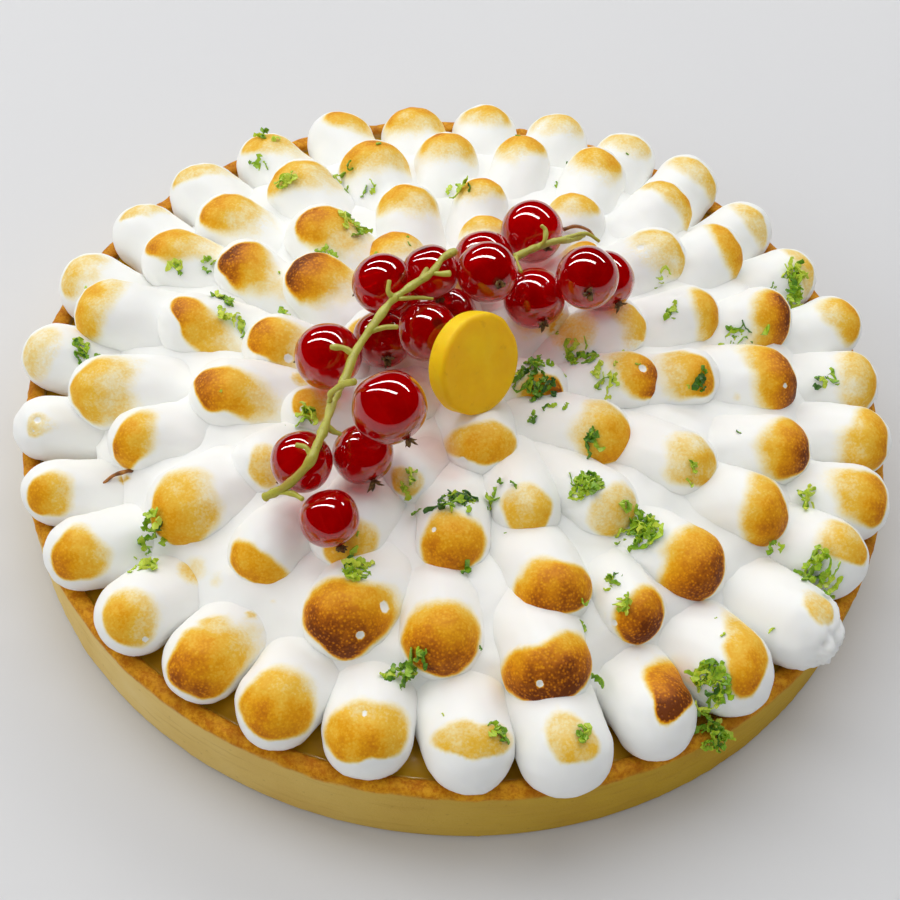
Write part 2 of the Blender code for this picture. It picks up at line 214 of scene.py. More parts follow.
def baked_grain_group():
    """Fine baked grain that crust, browned meringue and lemon disc share: small pale and dark flecks
    and their height."""
    group = bpy.data.node_groups.new("baked_grain", "ShaderNodeTree")
    face = group.interface
    face.new_socket("Vector", in_out="INPUT", socket_type="NodeSocketVector")
    face.new_socket("Scale", in_out="INPUT", socket_type="NodeSocketFloat")
    face.new_socket("Flecks", in_out="OUTPUT", socket_type="NodeSocketFloat")
    face.new_socket("Height", in_out="OUTPUT", socket_type="NodeSocketFloat")
    inside = group.nodes.new("NodeGroupInput")
    outside = group.nodes.new("NodeGroupOutput")
    fine = cloud(group, inside.outputs["Vector"], inside.outputs["Scale"], 4.0, 0.62)
    third = sums(group, "MULTIPLY", inside.outputs["Scale"], 0.31)
    coarse = cloud(group, inside.outputs["Vector"], third, 2.0)
    flecks = sums(group, "MULTIPLY_ADD", coarse, 0.4, sums(group, "MULTIPLY", fine, 0.6))
    group.links.new(between(group, flecks, 0.36, 0.62), outside.inputs["Flecks"])
    group.links.new(sums(group, "MULTIPLY_ADD", fine, 0.7, sums(group, "MULTIPLY", coarse, 0.3)), outside.inputs["Height"])
    return group


baked_grain = baked_grain_group()


def grain_of(tree, place, scale):
    """The baked grain put into a material."""
    made = put(tree, "ShaderNodeGroup", {"node_tree": baked_grain}, Vector=place, Scale=scale)
    return made.outputs["Flecks"], made.outputs["Height"]


def crust_look():
    look, tree, shader, place = new_look("shortcrust")
    parts = put(tree, "ShaderNodeSeparateXYZ", Vector=place)
    height = parts.outputs["Z"]
    streaks = cloud(tree, stretched(tree, place, (90, 90, 900)), 1.0, 4.0, 0.6)
    drifts = cloud(tree, place, 55, 3.0)
    flecks, rough = grain_of(tree, place, 1900)
    # Painted light and shade: the wall is paler on the lit left side and a deeper, more saturated brown towards the
    # front and right, which face away from the light.
    painted_shade_side = sums(tree, "MULTIPLY_ADD", parts.outputs["Y"], -5.0, sums(tree, "MULTIPLY", parts.outputs["X"], 7.0))
    darker_share = between(tree, sums(tree, "MULTIPLY_ADD", drifts, 0.3, painted_shade_side), 0.0, 0.85)
    # The pale ramp is the painted lit side, the deep ramp the painted shaded side.
    painted_lit_wall = shades(tree, drifts, ((0.30, swatch(222, 188, 108)), (0.50, swatch(230, 200, 126)), (0.72, swatch(236, 210, 144))))
    painted_shaded_wall = shades(tree, drifts, ((0.30, swatch(186, 142, 24)), (0.50, swatch(198, 158, 36)), (0.72, swatch(206, 168, 54))))
    wall = tinted(tree, darker_share, painted_lit_wall, painted_shaded_wall)
    wall = tinted(tree, sums(tree, "MULTIPLY", between(tree, streaks, 0.52, 0.72), 0.22), wall, swatch(160, 112, 36))
    specks = put(tree, "ShaderNodeTexVoronoi", Vector=place, Scale=420).outputs["Distance"]
    specks = sums(tree, "SUBTRACT", 1.0, between(tree, specks, 0.05, 0.14))
    wall = tinted(tree, sums(tree, "MULTIPLY", specks, 0.22), wall, swatch(120, 76, 24))
    edge = sums(tree, "MULTIPLY_ADD", drifts, 0.0020, height)
    edge = sums(tree, "MULTIPLY_ADD", cloud(tree, place, 300, 3.0), 0.0016, edge)
    rim = between(tree, edge, CASE_HEIGHT - 0.0002, CASE_HEIGHT + 0.0010)
    rim_colour = tinted(tree, flecks, swatch(192, 112, 4), swatch(226, 160, 30))
    deepest = between(tree, cloud(tree, place, 130, 3.0), 0.46, 0.66)
    rim_colour = tinted(tree, sums(tree, "MULTIPLY", deepest, 0.5), rim_colour, swatch(160, 84, 4))
    colour = tinted(tree, rim, wall, rim_colour)
    tree.links.new(colour, shader.inputs["Base Color"])
    shader.inputs["Roughness"].default_value = 0.72
    shader.inputs["Specular IOR Level"].default_value = 0.15
    lift = sums(tree, "MULTIPLY_ADD", streaks, 0.7, rough)
    tree.links.new(bumped(tree, lift, 0.6, 0.00030), shader.inputs["Normal"])
    return look


inner_radius = CASE_RADIUS - CASE_WALL
case_profile = stepped(
    [
        (0.0, 0.0), (CASE_RADIUS - 1.2 * MM, 0.0), (CASE_RADIUS - 0.35 * MM, 0.3 * MM),
        (CASE_RADIUS, 1.0 * MM), (CASE_RADIUS, CASE_HEIGHT - 0.9 * MM), (CASE_RADIUS - 0.35 * MM, CASE_HEIGHT - 0.25 * MM),
        (CASE_RADIUS - 1.0 * MM, CASE_HEIGHT), (inner_radius + 0.8 * MM, CASE_HEIGHT - 0.1 * MM),
        (inner_radius + 0.1 * MM, CASE_HEIGHT - 0.6 * MM), (inner_radius, CASE_HEIGHT - 1.4 * MM),
        (inner_radius, CASE_FLOOR), (0.0, CASE_FLOOR),
    ],
    0.55 * MM,
)
# Long runs across the hidden floors need few steps.
case_radii = case_profile[:, 0]
keep = (case_radii > inner_radius - 2 * MM) | (np.arange(len(case_radii)) % 12 == 0)
keep[[0, -1]] = True
case_rings = turned(case_profile[keep], CASE_STEPS_ROUND)
level = case_rings[..., 2:3]
near_rim = np.clip((level - (CASE_HEIGHT - 1.6 * MM)) / (1.6 * MM), 0, 1)
outward = case_rings * (1, 1, 0)
outward = outward / np.maximum(np.linalg.norm(outward, axis=-1, keepdims=True), 1e-9)
ripple = unevenness(case_rings, 9 * MM, 11)[..., None] * 0.06 + unevenness(case_rings, 2.2 * MM, 12)[..., None] * 0.05
ragged = unevenness(case_rings, 3.0 * MM, 13)[..., None] * 0.16 + unevenness(case_rings, 1.1 * MM, 14)[..., None] * 0.10
on_wall = (level > 0.5 * MM) & (np.linalg.norm(case_rings[..., :2], axis=-1, keepdims=True) > inner_radius - 1 * MM)
case_rings = case_rings + outward * on_wall * (ripple - 0.12 - 0.5 * near_rim * np.abs(ragged)) * MM
case_rings[..., 2:3] += near_rim * (ragged - 0.22) * MM
case = make_piece("pastry_case", skin_points(case_rings), *skin_faces(1, *case_rings.shape[1:3]), crust_look())
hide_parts("crust")


# ---- The curd ----
# Lemon curd poured into the case and set: glossy, amber under the meringue, drawn up a little
# where it wets the pastry. It shows only in the small gaps between the outer dollops.
def curd_look():
    look, tree, shader, place = new_look("lemon_curd")
    drifts = cloud(tree, place, 90, 2.0)
    colour = shades(tree, drifts, ((0.3, swatch(196, 142, 18)), (0.7, swatch(222, 174, 34))))
    tree.links.new(colour, shader.inputs["Base Color"])
    shader.inputs["Roughness"].default_value = 0.25
    shader.inputs["Subsurface Weight"].default_value = 0.2
    shader.inputs["Subsurface Radius"].default_value = (1.0, 0.6, 0.1)
    shader.inputs["Subsurface Scale"].default_value = 0.002
    tree.links.new(bumped(tree, cloud(tree, place, 400, 2.0), 0.2, 0.0003), shader.inputs["Normal"])
    return look


curd_low, curd_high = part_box("curd")
curd_radius = curd_high[0]
curd_profile = stepped(
    [
        (0.0, curd_low[2]), (curd_radius, curd_low[2]), (curd_radius, curd_high[2]),
        (curd_radius - 0.8 * MM, curd_high[2] - 0.35 * MM), (curd_radius - 2.2 * MM, curd_high[2] - 0.6 * MM),
        (0.0, curd_high[2] - 0.6 * MM),
    ],
    1.5 * MM,
)
curd_rings = turned(curd_profile, 180)
curd = make_piece("curd_filling", skin_points(curd_rings), *skin_faces(1, *curd_rings.shape[1:3]), curd_look())
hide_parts("curd")


# ---- The meringue ----
# Italian meringue spread thin over the curd, then piped in rings from the rim inwards: each dollop
# is a round head with its tail drawn towards the middle, under the head of the next ring. The
# heads' outer faces are browned with a torch; the tails stay white.
PIE_RADIUS = CASE_RADIUS
RINGS = (
    (30, 285.1, ((1, 3.4, -126), (2, 1.3, -10), (3, 0.5, -49)), 0.911,
     ((1, 0.012, -74), (2, 0.016, 20), (3, 0.013, -55)), 0.236, 0.0856,
     ((1, 0.003, -46), (2, 0.006, -67)), 0.19),
    (23, 285.2, ((1, 1.3, 13), (2, 1.1, -54), (3, 1.3, 41)), 0.728,
     ((1, 0.012, 134), (2, 0.018, 4), (3, 0.039, 57)), 0.292, 0.0836, ((1, 0.003, -160),), 0.20),
    (16, 290.4, ((2, 1.1, -62), (3, 2.2, 16)), 0.544,
     ((2, 0.021, 14), (3, 0.037, 50)), 0.317, 0.0793, ((1, 0.002, -175),), 0.19),
    (11, 285.6, ((1, 6.5, -40), (2, 5.7, -47)), 0.387,
     ((2, 0.011, 35), (3, 0.036, 56)), 0.322, 0.0741, ((2, 0.008, -28),), 0.17),
    (6, 283.0, (), 0.225, (), 0.328, 0.0800, (), 0.12),
    (1, 0.0, (), 0.0, (), 0.332, 0.0800, (), 0.0),
)
# Dollops piped out of line: (ring, number) -> millimetres outwards, degrees round, millimetres
# added to the head's radius.
NUDGES = {
    (0, 0): (1.6, 0.0, 0.0), (0, 1): (0.0, 0.5, 0.0), (0, 4): (-0.7, 0.0, 0.0), (0, 6): (0.0, -0.6, 0.0),
    (0, 7): (0.0, 0.0, -0.5), (0, 8): (0.0, 0.8, -0.4), (0, 9): (0.0, 0.9, 0.0), (0, 10): (0.0, -0.7, 0.4),
    (0, 11): (0.0, -0.7, 0.0), (0, 12): (0.0, 0.0, 0.5), (0, 13): (0.9, 0.0, 0.0), (0, 14): (1.0, 0.0, 0.0),
    (0, 15): (-1.0, 0.0, 0.0), (0, 16): (-0.7, 0.0, 0.0), (0, 19): (1.0, 0.9, 0.0), (0, 20): (-0.9, 0.0, 0.0),
    (0, 21): (-1.2, 0.0, 0.0), (0, 22): (1.1, 0.0, 0.0), (0, 26): (-0.9, 0.8, 0.0), (0, 27): (1.0, 0.0, 0.0),
    (0, 28): (-1.0, 0.0, 0.0), (0, 29): (0.0, 0.0, -0.7), (1, 0): (3.5, -0.9, 0.5), (1, 2): (1.0, 1.4, 0.7),
    (1, 3): (-2.3, 0.0, -0.4), (1, 4): (0.0, 0.0, 0.4), (1, 5): (-1.0, -1.1, -0.8), (1, 6): (1.1, 2.0, 0.0),
    (1, 7): (2.4, 0.0, 0.0), (1, 8): (-1.4, -1.5, -0.4), (1, 9): (-1.2, 0.8, 0.0), (1, 10): (-0.7, 0.0, 0.6),
    (1, 11): (0.0, 0.0, 0.5), (1, 12): (0.9, 0.0, 0.0), (1, 13): (0.0, 0.0, -0.5), (1, 15): (-1.3, 0.0, 0.0),
    (1, 16): (-0.7, 0.9, 0.0), (1, 17): (1.2, -0.9, 0.0), (1, 18): (-1.1, 0.0, 0.6), (1, 19): (2.3, 0.0, 0.0),
    (1, 20): (0.9, 1.1, 0.0), (1, 21): (-3.1, -1.1, 0.0), (1, 22): (-2.3, 0.0, -1.0), (2, 0): (4.6, 0.0, 0.4),
    (2, 1): (-4.2, 1.2, 0.0), (2, 2): (1.8, 0.0, 0.0), (2, 3): (0.0, -1.8, -0.6), (2, 4): (-2.5, 0.0, 0.4),
    (2, 5): (2.5, 0.0, 0.0), (2, 6): (0.0, 0.0, -0.4), (2, 7): (-1.3, 0.0, 0.8), (2, 8): (0.9, -2.4, 0.0),
    (2, 9): (1.6, 2.2, -0.6), (2, 10): (-0.9, 0.0, 0.0), (2, 11): (0.0, -0.8, 0.5), (2, 13): (-0.8, 2.6, -0.5),
    (2, 14): (2.2, 0.0, 0.0), (2, 15): (-4.6, 0.0, 0.0), (3, 0): (1.4, -2.2, 0.0), (3, 1): (-1.4, 2.4, 0.0),
    (3, 2): (0.0, -1.8, 0.0), (3, 4): (0.0, 0.0, 0.5), (3, 6): (1.6, 0.0, 0.0), (3, 8): (-1.4, 0.0, 0.4),
    (3, 9): (2.5, 0.0, -0.5), (3, 10): (-3.3, 0.0, 0.0), (4, 0): (1.3, 0.0, 0.3), (4, 5): (-3.4, 2.5, -1.2),
}
HEIGHT_CHANCE = 0.005
HEAD_CHANCE = 0.012
SKEW_CHANCE = 0.16
DIP_DEPTH = 0.0045
DIP_CENTRE = (-0.003, 0.003)
DIP_RADIUS = 0.016
TAIL_SHARE = 0.76
TAIL_DROP = 0.046
TAIL_WIDEN = 1.55
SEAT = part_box("meringue")[0][2]
RIM_SEAT = CASE_HEIGHT + 0.35 * MM


def waves(angle, terms):
    return sum(size * math.cos(math.radians(count * (angle - peak))) for count, size, peak in terms)


def piped_dollops():
    """Every dollop's ring, number, way out, head centre, head radius, tail end and tail radius."""
    random = np.random.default_rng(7)
    found = []
    for ring, (count, first, steps, share, swell, height, head, plump, tail) in enumerate(RINGS):
        for k in range(count):
            out, turn, extra = NUDGES.get((ring, k), (0.0, 0.0, 0.0))
            even = first - 360 * k / count
            angle = math.radians(even + waves(even, steps) + turn)
            radius = (share + waves(even, swell)) * PIE_RADIUS + out * MM
            chance = random.uniform(-1, 1, 3)
            way = np.array([math.cos(angle), math.sin(angle), 0.0])
            centre = way * radius
            away = math.hypot(centre[0] - DIP_CENTRE[0], centre[1] - DIP_CENTRE[1])
            dip = DIP_DEPTH * math.exp(-((away / DIP_RADIUS) ** 4))
            centre[2] = (height + HEIGHT_CHANCE * chance[0]) * PIE_RADIUS - dip
            head_share = head + waves(even, plump) + HEAD_CHANCE * head * chance[1]
            head_radius = head_share * PIE_RADIUS + extra * MM
            skew = SKEW_CHANCE * chance[2]
            inward = -np.array([math.cos(angle + skew), math.sin(angle + skew), 0.0])
            end = centre + inward * tail * PIE_RADIUS - np.array([0.0, 0.0, TAIL_DROP * PIE_RADIUS])
            tail_radius = head_radius * (TAIL_SHARE if tail > 0 else 1.0)
            found.append((ring, k, way, centre, head_radius, end, tail_radius))
    return found


DOLLOPS = piped_dollops()
ring_of = np.array([one[0] for one in DOLLOPS])
number_of = np.array([one[1] for one in DOLLOPS])
ways_out = np.array([one[2] for one in DOLLOPS])
heads = np.array([one[3] for one in DOLLOPS])
head_radii = np.array([one[4] for one in DOLLOPS])
tails = np.array([one[5] for one in DOLLOPS])
tail_radii = np.array([one[6] for one in DOLLOPS])


def eased(share):
    share = np.clip(share, 0, 1)
    return share * share * (3 - 2 * share)


def unit(ways):
    return ways / np.maximum(np.linalg.norm(ways, axis=-1, keepdims=True), 1e-9)


# How the torch has caught each dollop, ring by ring. The torch was held in front of the pie and
# above it, a little askew. Each row is: how dark, 0 to 1; how far the middle of the browned patch
# lies right and up of the middle of the head as seen from the torch, in head radii; the patch's half
# length and half width in degrees round the head; and how many degrees its length leans from level.
TORCH_PLACE = np.array((-0.0008, -0.174, 0.225))
TORCH_ASKEW = math.radians(5)
TORCHED = (
    (
        (0.34, 0.10, 0.25, 35, 28, 0), (0.40, 0.12, 0.13, 52, 22, 0), (0.56, -0.05, 0.06, 58, 43, 10),
        (0.60, 0.00, 0.00, 60, 48, 0), (0.66, 0.13, 0.00, 62, 55, 0), (0.46, -0.17, 0.00, 50, 38, 80),
        (0.62, -0.20, 0.00, 46, 42, -30), (0.56, -0.23, 0.00, 42, 38, 60), (0.16, -0.20, 0.20, 25, 20, 0),
        (0.24, -0.50, 0.40, 50, 35, 50), (0.30, -0.30, 0.60, 55, 30, 30), (0.28, 0.10, 0.84, 52, 16, 0),
        (0.32, 0.00, 0.84, 58, 18, 0), (0.44, 0.15, 0.75, 55, 28, -5), (0.52, 0.40, 0.72, 50, 25, -20),
        (0.55, 0.10, 0.75, 68, 36, 0), (0.45, 0.10, 0.78, 48, 26, 0), (0.32, 0.05, 0.78, 58, 30, 0),
        (0.30, 0.10, 0.72, 52, 26, -15), (0.37, 0.35, 0.60, 70, 22, -35), (0.32, 0.40, 0.45, 52, 20, -45),
        (0.37, 0.60, 0.50, 60, 20, -50), (0.52, 0.38, 0.50, 46, 36, -30), (0.40, 0.45, 0.30, 60, 40, -70),
        (0.54, 0.40, 0.10, 60, 45, -80), (0.60, 0.30, 0.35, 50, 42, -20), (0.44, 0.30, 0.55, 40, 32, -30),
        (0.32, 0.35, 0.62, 28, 20, -30), (0.56, 0.30, 0.55, 60, 30, -76), (0.90, 0.24, 0.80, 56, 32, 76),
    ),
    (
        (0.95, 0.18, -0.06, 86, 42, 24), (0.78, 0.03, 0.02, 66, 60, 0), (0.88, 0.00, -0.02, 74, 52, -6),
        (0.64, -0.40, -0.28, 58, 26, -48), (0.50, -0.17, 0.00, 62, 50, 70), (0.60, -0.27, 0.15, 72, 29, 48),
        (0.40, -0.20, 0.20, 62, 54, 70), (0.47, -0.40, 0.50, 66, 36, 45), (0.50, 0.20, 0.60, 60, 35, -5),
        (0.52, 0.10, 0.52, 55, 42, 0), (0.44, 0.00, 0.67, 70, 31, 0), (0.57, 0.05, 0.68, 68, 38, -5),
        (0.52, 0.10, 0.68, 62, 36, 0), (0.50, -0.10, 0.75, 60, 33, 0), (0.47, 0.05, 0.67, 56, 35, -20),
        (0.50, 0.45, 0.66, 70, 25, -42), (0.68, 0.62, 0.35, 66, 24, -58), (0.82, 0.53, 0.06, 70, 40, -86),
        (0.86, 0.50, 0.30, 72, 40, -50), (0.80, 0.42, 0.28, 58, 48, -50), (0.70, 0.47, 0.05, 70, 40, -75),
        (0.86, 0.28, 0.04, 86, 56, 80), (1.00, 0.42, -0.16, 58, 46, 80),
    ),
    (
        (0.78, 0.05, 0.03, 72, 44, 8), (0.68, 0.00, -0.04, 58, 54, 90), (0.44, 0.10, -0.20, 44, 40, 0),
        (0.30, 0.00, 0.00, 42, 27, 90), (0.66, 0.00, 0.22, 60, 37, -32), (0.58, 0.17, 0.10, 62, 30, -65),
        (0.80, 0.00, 0.32, 50, 46, 0), (0.62, 0.20, 0.45, 52, 40, 0), (0.50, 0.00, 0.62, 60, 35, 0),
        (0.52, 0.00, 0.75, 56, 33, 0), (0.44, -0.20, 0.75, 56, 31, 0), (0.30, 0.25, 0.45, 65, 36, -30),
        (0.62, 0.62, 0.22, 62, 28, -62), (0.54, 0.00, 0.25, 62, 42, -35), (0.36, 0.30, 0.28, 52, 46, -40),
        (0.32, 0.40, -0.08, 50, 40, 80),
    ),
    (
        (0.40, 0.06, 0.00, 48, 42, 60), (0.34, -0.10, -0.10, 32, 28, 0), (0.52, 0.10, 0.45, 40, 35, 0),
        (0.62, 0.05, 0.27, 56, 42, -18), (0.80, 0.08, 0.52, 62, 44, 0), (0.55, 0.00, 0.74, 66, 38, 0),
        (0.52, -0.10, 0.80, 60, 31, 0), (0.52, -0.10, 0.75, 50, 30, 0), (0.42, 0.30, 0.58, 50, 27, -20),
        (0.72, 0.25, 0.42, 62, 40, -30), (0.52, 0.33, 0.14, 62, 50, -80),
    ),
    (
        (0.54, 0.12, 0.10, 70, 32, 4), (0.35, 0.00, 0.20, 40, 35, 0), (0.35, 0.00, 0.20, 40, 35, 0),
        (0.40, 0.00, 0.30, 40, 35, 0), (0.40, 0.00, 0.30, 40, 35, 0), (0.78, 0.10, -0.20, 48, 40, 0),
    ),
    ((0.40, 0.00, 0.20, 40, 35, 0),),
)
torched = np.array([row for ring in TORCHED for row in ring])
to_torch = unit(TORCH_PLACE - heads)
flat_right = unit(np.cross((0.0, 0.0, 1.0), to_torch))
straight_up = np.cross(to_torch, flat_right)
torch_right = math.cos(TORCH_ASKEW) * flat_right + math.sin(TORCH_ASKEW) * straight_up
torch_up = math.cos(TORCH_ASKEW) * straight_up - math.sin(TORCH_ASKEW) * flat_right


def seen_from_torch(which, right, up):
    """Ways out of the heads through places right and up of their middles, in head radii."""
    right, up = np.asarray(right)[:, None], np.asarray(up)[:, None]
    towards = np.sqrt(np.clip(1 - right**2 - up**2, 0.0025, 1))
    return unit(torch_right[which] * right + torch_up[which] * up + to_torch[which] * towards)


patch_middles = seen_from_torch(np.arange(len(heads)), torched[:, 1], torched[:, 2])
lean = np.radians(torched[:, 5])[:, None]
patch_length = torch_right * np.cos(lean) + torch_up * np.sin(lean)
patch_length = unit(patch_length - (patch_length * patch_middles).sum(-1, keepdims=True) * patch_middles)
patch_width = np.cross(patch_middles, patch_length)

# Bubbles that have popped and left white pits in the browned skin: ring, number, right and up of the
# middle of the head, width in head radii.
POPPED = (
    (1, 2, 0.80, 0.12, 0.17), (1, 2, 0.25, -0.45, 0.13), (1, 0, -0.10, -0.40, 0.11), (0, 2, -0.04, 0.45, 0.09),
    (3, 9, 0.34, 0.52, 0.17), (1, 18, 0.68, 0.10, 0.09), (3, 2, -0.25, 0.28, 0.14), (3, 3, 0.28, -0.32, 0.15),
    (0, 8, -0.18, 0.34, 0.13), (2, 1, -0.50, 0.30, 0.09), (0, 8, -0.40, 0.05, 0.07), (2, 11, -0.35, 0.35, 0.12),
    (2, 12, -0.52, 0.58, 0.15), (4, 0, -0.42, -0.42, 0.14), (0, 5, 0.05, -0.62, 0.10), (1, 22, -0.42, -0.45, 0.12),
)
popped = np.array(POPPED)
popped_on = np.array([np.flatnonzero((ring_of == one[0]) & (number_of == one[1]))[0] for one in POPPED])
popped_ways = seen_from_torch(popped_on, popped[:, 2], popped[:, 3])

# The dollop whose outer side has torn: ring and number.
TORN = (0, 27)

# Faint scorch on the tails, two of these blobs (at x 20 and 30 mm) being painted shadow cast by the raised berries; and
# places where a painted pink tint stands in for red light shone through the berries onto the meringue, along with
# currant juice that wets it: x, y, z, radius in millimetres and strength.
SCORCH_AND_SHADOW = (
    (-40.8, -46.5, 22, 4.2, 0.30), (-36.5, -48.5, 22, 3.4, 0.24), (-27.1, -52.5, 24, 2.0, 0.34),
    (-30.1, -54.5, 23, 1.5, 0.38), (-35.4, -58.1, 24, 4.0, 0.18), (-45.5, -30.5, 24, 2.2, 0.42),
    (20.0, 7.5, 29, 6.0, 0.30), (30.0, 9.0, 28, 4.5, 0.24), (-28.3, -9.1, 28, 2.2, 0.30),
    (-56.2, -29.0, 21, 1.6, 0.45), (50.0, -1.0, 25, 2.2, 0.26),
)
JUICE_AND_RED_LIGHT = (
    (-4.1, -22.8, 28, 6.5, 0.75), (-0.5, -26.3, 27, 4.5, 0.45), (-14.9, -31.0, 27, 8.0, 0.42),
    (-22.2, -36.0, 27, 7.0, 0.45), (13.0, 25.2, 29, 6.0, 0.40), (26.0, 8.0, 30, 7.0, 0.40),
    (-6.0, 4.0, 25, 14.0, 0.60),
)


def spread(points, blobs):
    """The strongest of several soft blobs at each point: full at the middle, nothing at the radius."""
    blobs = np.array(blobs)
    found = np.zeros(points.shape[:-1])
    for x, y, z, radius, strength in blobs:
        away = np.linalg.norm(points - np.array((x, y, z)) * MM, axis=-1) / (radius * MM)
        found = np.maximum(found, strength * eased(1.35 * (1 - away)))
    return found


def dollop_rings(which, rows, around):
    """Each dollop's skin as a profile carried along the line from its head to its tail: half a ball,
    a drawn-out waist that eases from the head's radius to the tail's and widens sideways, and a
    rounded end. The skin is then pushed in and out a little by smooth unevenness, and in where a
    bubble has popped."""
    start, end = heads[which], tails[which]
    big, small = head_radii[which][:, None], tail_radii[which][:, None]
    axis = end - start
    length = np.linalg.norm(axis, axis=1)
    axis = axis / length[:, None]
    side = unit(np.cross(axis, (0.0, 0.0, 1.0)))
    other = np.cross(side, axis)
    third = rows // 2 - 3
    quarter = np.linspace(0, np.pi / 2, third)
    end_turn = np.linspace(0, np.pi / 2, rows // 5)
    inner = np.linspace(0, 1, rows - third - len(end_turn) + 2)[1:-1]
    along = np.concatenate(
        [-big * np.cos(quarter), length[:, None] * inner, length[:, None] + small * np.sin(end_turn)], axis=1
    )
    radius = np.concatenate(
        [big * np.sin(quarter), big + (small - big) * eased(inner), small * np.cos(end_turn)], axis=1
    )
    wider = 1 + (TAIL_WIDEN - 1) * eased(along / length[:, None])
    angle = np.linspace(0, 2 * np.pi, around, endpoint=False)
    sideways = (radius * wider)[..., None, None] * np.cos(angle)[:, None] * side[:, None, None]
    upwards = radius[..., None, None] * np.sin(angle)[:, None] * other[:, None, None]
    points = start[:, None, None] + along[..., None, None] * axis[:, None, None] + sideways - upwards
    from_core = unit(points - (start[:, None] + np.clip(along, 0, None)[..., None] * axis[:, None])[:, :, None])
    own = heads[which][:, None, None] * 37.0
    lumps = 0.17 * unevenness(points + own, 11 * MM, 21) + 0.05 * unevenness(points + own, 3.0 * MM, 22)
    for place in np.flatnonzero((ring_of[which] == TORN[0]) & (number_of[which] == TORN[1])):
        facing_out = eased((from_core[place] * (0.95, -0.25, -0.10)).sum(-1))
        lumps[place] += facing_out * (0.75 * np.abs(unevenness(points[place], 4 * MM, 25)) - 0.45)
        lumps[place] += facing_out * 0.28 * unevenness(points[place], 1.7 * MM, 26)
    for dollop, way, width in zip(popped_on, popped_ways, popped[:, 4]):
        for place in np.flatnonzero(which == dollop):
            away = np.linalg.norm(unit(points[place] - heads[dollop]) - way, axis=-1) / width
            lumps[place] -= 0.55 * eased(1.6 * (1 - away))
    return points + from_core * lumps[..., None] * MM


def settle(points):
    """The undersides lie flat on the curd and on the rim of the case."""
    out = np.linalg.norm(points[..., :2], axis=-1)
    seat = np.where(out > inner_radius - 0.8 * MM, RIM_SEAT, SEAT)
    points[..., 2] = np.maximum(points[..., 2], seat)
    return points


def toasting(points, which):
    """How far inside its browned patch each point lies, how dark it is there, and how far inside a
    popped bubble it lies. Inside: the angle
    round the head from the patch's middle is measured against an oval with a wandering outline, and
    passes a half at the outline, quickly on the outer side and slowly towards the tail. Dark: the
    dollop's own darkness, greater towards its outer side."""
    random = np.random.default_rng(31)
    swings = random.uniform(-1, 1, (len(heads), 4)) * np.array((0.13, 0.10, 0.07, 0.05))
    starts = random.uniform(0, 2 * np.pi, (len(heads), 4))
    way = unit(points - heads[which][:, None, None])
    across = [(way * one[which][:, None, None]).sum(-1) for one in (patch_middles, patch_length, patch_width)]
    angle = np.arccos(np.clip(across[0], -1, 1))
    turn = np.arctan2(across[2], across[1])
    long, wide = (np.radians(torched[which, k])[:, None, None] for k in (3, 4))
    share = angle * np.sqrt((np.cos(turn) / long) ** 2 + (np.sin(turn) / wide) ** 2)
    outline = 1 + sum(
        swings[which, k][:, None, None] * np.cos((k + 2) * turn + starts[which, k][:, None, None]) for k in range(4)
    )
    outer = ((way - patch_middles[which][:, None, None]) * ways_out[which][:, None, None]).sum(-1)
    turned_away = ((1 + ways_out[which, 1]) / 2)[:, None, None]
    softness = 0.20 + (0.22 + 0.42 * turned_away) * np.clip(0.45 - 0.9 * outer, 0, 1)
    inside = (1 - share / outline) / softness + 0.5
    own = heads[which][:, None, None] * 53.0
    steep = 0.40 + 0.35 * turned_away
    dark = torched[which, 0][:, None, None] * np.clip(1 + steep * (np.minimum(outer, 0.6) - 0.42), 0.2, 1.15)
    dark = dark + 0.05 * unevenness(points + own, 4.5 * MM, 34)
    # Scorch blobs brown the tails; two of them are painted shadow under the raised berries.
    scorch_and_shadow = spread(points, SCORCH_AND_SHADOW)
    dark = np.where(inside < 0.5, np.maximum(scorch_and_shadow, dark * (inside > -0.5)), dark)
    inside = np.maximum(inside, 2.2 * scorch_and_shadow / np.maximum(scorch_and_shadow.max(), 0.2))
    pitted = np.full(inside.shape, -1.0)
    for dollop, hole, width in zip(popped_on, popped_ways, popped[:, 4]):
        for place in np.flatnonzero(which == dollop):
            away = np.linalg.norm(way[place] - hole, axis=-1) / width
            pitted[place] = np.maximum(pitted[place], 1 - away)
    return inside, dark, pitted


